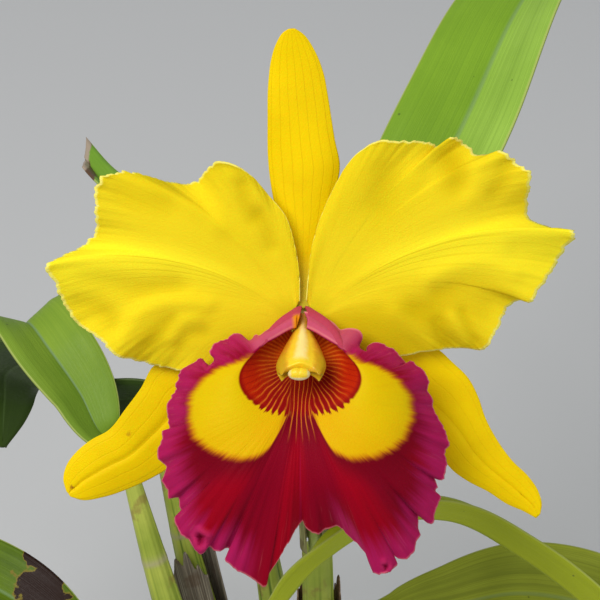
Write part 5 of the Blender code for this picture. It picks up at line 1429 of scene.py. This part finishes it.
def buildRhizome():
    bark, root = rhizomeSkin(), rootSkin()
    pieces = []
    for number, branch in enumerate(branches):
        t = np.linspace(0, 1, 120)
        flat = curveThrough(branch)(t)
        path = np.column_stack([flat, np.full(len(t), rhizomeMake["height"])])
        saw = (t * 11 + 0.3 * number) % 1.0
        ends = np.minimum(np.sqrt(np.clip(t / 0.04, 0.05, 1)), np.sqrt(np.clip((1 - t) / 0.05, 0.05, 1)))
        radius = rhizomeMake["radius"] * (0.92 + 0.12 * saw ** 2) * ends
        ring = np.exp(-((saw - 0.97) / 0.06) ** 2)[:, None]
        grid = tubeGrid(path, radius[:, None], 28, (0.0, 0.0, 1.0))
        piece = bodyPiece("branch%d" % number, grid, {"ring": ring})
        piece.data.materials.append(bark)
        piece.data.materials.append(root)
        pieces.append(piece)
    for number, route in enumerate(rootRoutes()):
        t = np.linspace(0, 1, 40)
        path = curveThrough(route)(t)
        taper = levels([1.15, 1.0, 0.95, 0.85, 0.5], [0, 0.35, 0.7, 0.95, 1.0])(t)
        radius = rhizomeMake["rootRadius"] * taper
        radius = radius * (1 + 0.08 * roughLine(t, 14.0, number))
        grid = tubeGrid(path, radius[:, None], 14, (0.0, 0.0, 1.0))
        piece = bodyPiece("root%d" % number, grid, {"ring": 0.0})
        piece.data.materials.append(bark)
        piece.data.materials.append(root)
        piece.data.polygons.foreach_set("material_index", np.ones(len(piece.data.polygons), np.int32))
        pieces.append(piece)
    whole = joinPieces("rhizome_body", pieces)
    whole.data.shade_smooth()
    claim(whole, "rhizome")


buildRhizome()
print("rhizome ready")


# The pot

potMake = {"height": 0.118, "base": 0.050, "top": 0.067, "wall": 0.0018, "floor": 0.0025, "bandHeight": 0.012,
           "bandRadius": 0.070, "sides": 128, "holes": 8, "holeRadius": 0.006}


def potRadius(height):
    return potMake["base"] + (potMake["top"] - potMake["base"]) * height / potMake["height"]


def buildPot():
    wall, top = potMake["wall"], potMake["height"]
    bandFoot = top - potMake["bandHeight"]
    band = potMake["bandRadius"]
    profile = [  # radius, height, and how far the band's colour reaches
        (0.0005, potMake["floor"], 0), (potRadius(potMake["floor"]) - wall, potMake["floor"], 0),
        (potRadius(bandFoot) - wall, bandFoot, 0), (band - wall, top - 0.0015, 1),
        (band - wall + 0.0004, top - 0.0003, 1), (band - 0.0008, top, 1), (band - 0.0002, top - 0.0003, 1),
        (band, top - 0.0010, 1), (band, top - 0.0055, 1), (band - 0.0006, top - 0.0060, 1),
        (band, top - 0.0065, 1), (band, bandFoot - 0.0004, 1), (band - 0.0006, bandFoot - 0.0010, 1),
        (potRadius(bandFoot), bandFoot - 0.0010, 0.3), (potRadius(bandFoot) - 0.0001, bandFoot - 0.002, 0),
        (potRadius(0.060), 0.060, 0), (potRadius(0.0012) + 0.0006, 0.0030, 0),
        (potRadius(0.0) + 0.0004, 0.0010, 0), (potRadius(0.0) - 0.0006, 0.0, 0), (0.0005, 0.0, 0),
    ]
    turn = np.linspace(0, 2 * math.pi, potMake["sides"], endpoint=False)
    radius = np.array([point[0] for point in profile])[:, None]
    height = np.array([point[1] for point in profile])[:, None]
    grid = np.stack([radius * np.cos(turn), radius * np.sin(turn), height + 0 * turn], axis=-1)
    bandField = np.array([point[2] for point in profile])[:, None] + 0 * turn
    pot = bodyPiece("pot_shell", grid, {"band": bandField})
    if signedVolume(pot) < 0:
        pot.data.flip_normals()
    cutters = []
    for number in range(potMake["holes"]):
        angle = 2 * math.pi * (number + 0.5) / potMake["holes"]
        bpy.ops.mesh.primitive_cylinder_add(vertices=32, radius=potMake["holeRadius"], depth=0.016)
        cutter = bpy.context.object
        outward = Matrix.Translation((potMake["base"] + 0.001, 0, 0.0028))
        lying = Matrix.Rotation(math.radians(90.0), 4, "Y")
        cutter.matrix_world = Matrix.Rotation(angle, 4, "Z") @ outward @ lying
        cutters.append(cutter)
    bpy.context.view_layer.update()
    cutter = joinPieces("potHoles", cutters)
    holes = pot.modifiers.new("holes", "BOOLEAN")
    holes.operation = "DIFFERENCE"
    holes.object = cutter
    plain = plainCopy(pot)
    bpy.data.objects.remove(cutter, do_unlink=True)
    plain.data.materials.append(potSkin())
    plain.data.shade_smooth()
    plain.data.set_sharp_from_angle(angle=math.radians(35.0))
    claim(plain, "pot")


def signedVolume(obj):
    mesh = obj.data
    mesh.calc_loop_triangles()
    points = np.empty(len(mesh.vertices) * 3)
    mesh.vertices.foreach_get("co", points)
    corners = np.empty(len(mesh.loop_triangles) * 3, np.int32)
    mesh.loop_triangles.foreach_get("vertices", corners)
    tri = points.reshape(-1, 3)[corners.reshape(-1, 3)]
    return float(np.linalg.det(tri).sum() / 6)


def plainCopy(obj):  # the object with its modifiers made real, under the same name
    graph = bpy.context.evaluated_depsgraph_get()
    mesh = bpy.data.meshes.new_from_object(obj.evaluated_get(graph))
    name = obj.name
    bpy.data.objects.remove(obj, do_unlink=True)
    copy = bpy.data.objects.new(name, mesh)
    bpy.context.scene.collection.objects.link(copy)
    return copy


buildPot()
print("pot ready")


# Potting mix: a rough bed, with husk chips and fibres scattered by geometry nodes

mixMake = {"top": 0.109, "relief": 0.0016, "rings": 40, "sides": 96, "clearance": 0.00035,
           "chipsPerM2": 34000.0, "chipLength": 0.0095, "fibresPerM2": 26000.0, "fibreLength": 0.017,
           "fibreRadius": 0.00022, "looseRadius": 0.0625, "looseLow": 0.1045, "looseHigh": 0.1145, "seed": 5}


def newScatter(name, inputs):
    tree = bpy.data.node_groups.new(name, "GeometryNodeTree")
    tree.interface.new_socket("Geometry", in_out="INPUT", socket_type="NodeSocketGeometry")
    sockets = {}
    for label, (kind, value) in inputs.items():
        socket = tree.interface.new_socket(label, in_out="INPUT", socket_type=kind)
        socket.default_value = value
        sockets[label] = socket.identifier
    tree.interface.new_socket("Geometry", in_out="OUTPUT", socket_type="NodeSocketGeometry")
    paint = Painter(tree)
    return tree, paint, paint.add("NodeGroupInput").outputs, paint.add("NodeGroupOutput").inputs, sockets


def randomVector(paint, low, high):
    node = paint.add("FunctionNodeRandomValue", None, data_type="FLOAT_VECTOR")
    node.inputs[0].default_value = low
    node.inputs[1].default_value = high
    return node.outputs[0]


def scatteredOn(paint, given, shape, turn, size, length):  # copies of the shape, turned and sized at random
    points = paint.add("GeometryNodeDistributePointsOnFaces", {
        "Mesh": given["Geometry"], "Density": given["Per m2"], "Seed": given["Seed"]})
    scale = paint.add("ShaderNodeVectorMath", {
        0: randomVector(paint, *size), "Scale": given[length]}, operation="SCALE")
    placed = paint.add("GeometryNodeInstanceOnPoints", {
        "Points": points.outputs["Points"], "Instance": shape, "Rotation": randomVector(paint, *turn),
        "Scale": scale.outputs[0]})
    return paint.add("GeometryNodeRealizeInstances", {"Geometry": placed.outputs[0]}).outputs[0]


def roughened(paint, geometry, noiseScale):  # pushes the points about a little, so no two bits are alike
    wobble = paint.add("ShaderNodeTexNoise", {"Scale": noiseScale, "Detail": 1.0})
    centred = paint.add("ShaderNodeVectorMath", {
        0: wobble.outputs["Color"], 1: (0.5, 0.5, 0.5)}, operation="SUBTRACT")
    push = paint.add("ShaderNodeVectorMath", {0: centred.outputs[0], "Scale": 0.004}, operation="SCALE")
    return paint.add("GeometryNodeSetPosition", {"Geometry": geometry, "Offset": push.outputs[0]}).outputs[0]


def chipTree(material):
    tree, paint, given, result, sockets = newScatter("huskChips", {
        "Per m2": ("NodeSocketFloat", 1000.0), "Chip length": ("NodeSocketFloat", 0.009),
        "Seed": ("NodeSocketInt", 1)})
    block = paint.add("GeometryNodeMeshCube", {
        "Size": (1.0, 0.55, 0.28), "Vertices X": 4, "Vertices Y": 3, "Vertices Z": 2}).outputs["Mesh"]
    turn = ((-0.7, -0.7, 0.0), (0.7, 0.7, 6.283))
    size = ((0.35, 0.35, 0.35), (1.15, 1.1, 1.3))
    moved = roughened(paint, scatteredOn(paint, given, block, turn, size, "Chip length"), 420.0)
    skin = paint.add("GeometryNodeSetMaterial", {"Geometry": moved, "Material": material})
    paint.join(skin.outputs[0], result[0])
    return tree, sockets


def fibreTree(material):
    tree, paint, given, result, sockets = newScatter("huskFibres", {
        "Per m2": ("NodeSocketFloat", 1000.0), "Fibre length": ("NodeSocketFloat", 0.016),
        "Fibre radius": ("NodeSocketFloat", 0.00022), "Seed": ("NodeSocketInt", 1)})
    strand = paint.add("GeometryNodeCurveQuadraticBezier", {
        "Resolution": 9, "Start": (-0.5, 0.0, -0.05), "Middle": (0.05, 0.35, 0.16),
        "End": (0.5, -0.05, -0.06)})
    turn = ((-0.5, -0.35, 0.0), (0.5, 0.35, 6.283))
    size = ((0.4, 0.3, 0.2), (1.1, 1.3, 0.9))
    moved = roughened(paint, scatteredOn(paint, given, strand.outputs[0], turn, size, "Fibre length"), 260.0)
    ring = paint.add("GeometryNodeCurvePrimitiveCircle", {"Resolution": 4, "Radius": given["Fibre radius"]})
    solid = paint.add("GeometryNodeCurveToMesh", {
        "Curve": moved, "Profile Curve": ring.outputs[0], "Fill Caps": True})
    skin = paint.add("GeometryNodeSetMaterial", {"Geometry": solid.outputs[0], "Material": material})
    paint.join(skin.outputs[0], result[0])
    return tree, sockets


def scattered(name, base, tree, sockets, values):
    obj = bpy.data.objects.new(name, base.data.copy())
    bpy.context.scene.collection.objects.link(obj)
    made = obj.modifiers.new("scatter", "NODES")
    made.node_group = tree
    for label, value in values.items():
        made[sockets[label]] = value
    obj.update_tag()
    bpy.context.view_layer.update()
    return plainCopy(obj)


def keepInside(obj, limit, lowest, highest):  # holds loose bits within the pot
    points = np.empty(len(obj.data.vertices) * 3)
    obj.data.vertices.foreach_get("co", points)
    points = points.reshape(-1, 3)
    radius = np.hypot(points[:, 0], points[:, 1])
    points[:, :2] *= np.minimum(1.0, limit / np.maximum(radius, 1e-6))[:, None]
    points[:, 2] = np.clip(points[:, 2], lowest, highest)
    obj.data.vertices.foreach_set("co", points.ravel())
    obj.data.update()


huskLook = {  # the light and the dark colour of each
    "coconut_husk": ((0.17, 0.060, 0.022), (0.075, 0.026, 0.011)),
    "coconut_husk_chips": ((0.27, 0.105, 0.042), (0.11, 0.038, 0.016)),
    "coconut_husk_fibres": ((0.40, 0.17, 0.065), (0.20, 0.075, 0.03)),
}


def buildMix():
    bed, chips, fibres = [huskSkin(name, *colours) for name, colours in huskLook.items()]
    gap = potMake["wall"] + mixMake["clearance"]
    foot = potMake["floor"] + mixMake["clearance"]
    turn = np.linspace(0, 2 * math.pi, mixMake["sides"], endpoint=False)
    rim = potRadius(mixMake["top"]) - gap - 0.0015
    rows = [(radius, mixMake["top"]) for radius in np.linspace(0.0005, rim, mixMake["rings"])]
    rows += [(potRadius(height) - gap, height) for height in (0.103, 0.05, foot)]
    rows.append((0.0005, foot))
    radius, height = np.array(rows)[:, 0][:, None], np.array(rows)[:, 1][:, None]
    grid = np.stack([radius * np.cos(turn), radius * np.sin(turn), height + 0 * turn], axis=-1)
    top = grid[:mixMake["rings"]]
    top[..., 2] += (rough(top, 90.0) + 0.7 * rough(top, 260.0, 3.0)) * mixMake["relief"] - 0.0008
    body = bodyPiece("mix_bed", grid)
    if signedVolume(body) < 0:
        body.data.flip_normals()
    body.data.materials.append(bed)
    body.data.shade_smooth()

    disc = bodyPiece("mixDisc", top[::3])  # the bed's top, which the loose bits are scattered on
    if not any(face.normal.z > 0.2 for face in disc.data.polygons):
        disc.data.flip_normals()
    chipSet = scattered("mixChips", disc, *chipTree(chips), {
        "Per m2": mixMake["chipsPerM2"], "Chip length": mixMake["chipLength"], "Seed": mixMake["seed"]})
    fibreSet = scattered("mixFibres", disc, *fibreTree(fibres), {
        "Per m2": mixMake["fibresPerM2"], "Fibre length": mixMake["fibreLength"],
        "Fibre radius": mixMake["fibreRadius"], "Seed": mixMake["seed"] + 1})
    bpy.data.objects.remove(disc, do_unlink=True)
    for loose in (chipSet, fibreSet):
        keepInside(loose, mixMake["looseRadius"], mixMake["looseLow"], mixMake["looseHigh"])
    whole = joinPieces("potting_mix_body", [body, chipSet, fibreSet])
    claim(whole, "potting_mix")
    print("mix bits:", len(whole.data.polygons))


buildMix()
print("potting mix ready")


# Floor, light and camera

stageMake = {
    "floorSize": 6.0, "floorColour": (0.62, 0.63, 0.64, 1.0),
    "skyColour": (0.96, 0.98, 1.0, 1.0), "skyStrength": 0.36,
    "lights": {  # place, what it points at, size, power and colour
        "key": ((-0.45, -0.20, 1.35), (0.0, 0.05, 0.36), 0.7, 11.0, (1.0, 0.98, 0.95)),
        "fill": ((0.8, -0.6, 0.9), (0.0, 0.05, 0.30), 0.9, 2.2, (0.97, 0.98, 1.0))},
    "cameraPlace": (0.00415, -0.24034, 0.72300), "cameraTilt": 40.0, "sensor": 36.0, "lens": 95.2,
}


def buildStage():
    bpy.ops.mesh.primitive_plane_add(size=stageMake["floorSize"], location=(0, 0, 0))
    floor = bpy.context.object
    floor.name = "floor"
    material, _, shader = newSkin("floor_pale", Roughness=0.9)
    shader.inputs["Base Color"].default_value = stageMake["floorColour"]
    floor.data.materials.append(material)


def addArea(name, place, target, size, power, colour):
    light = bpy.data.lights.new(name, "AREA")
    light.shape = "SQUARE"
    light.size = size
    light.energy = power
    light.color = colour
    obj = bpy.data.objects.new(name, light)
    bpy.context.scene.collection.objects.link(obj)
    obj.location = place
    obj.rotation_euler = (Vector(target) - Vector(place)).to_track_quat("-Z", "Y").to_euler()


def buildLight():
    world = bpy.data.worlds.new("studio")
    bpy.context.scene.world = world
    world.use_nodes = True
    sky = world.node_tree.nodes["Background"]
    sky.inputs[0].default_value = stageMake["skyColour"]
    sky.inputs[1].default_value = stageMake["skyStrength"]
    for name, settings in stageMake["lights"].items():
        addArea(name, *settings)


def buildCamera():
    camera = bpy.data.cameras.new("camera")
    camera.sensor_width = stageMake["sensor"]
    camera.lens = stageMake["lens"]
    obj = bpy.data.objects.new("camera", camera)
    bpy.context.scene.collection.objects.link(obj)
    obj.location = stageMake["cameraPlace"]
    obj.rotation_euler = (math.radians(stageMake["cameraTilt"]), 0.0, 0.0)
    bpy.context.scene.camera = obj


buildStage()
buildLight()
buildCamera()
bpy.context.scene.view_settings.view_transform = "Standard"

print("scene ready")
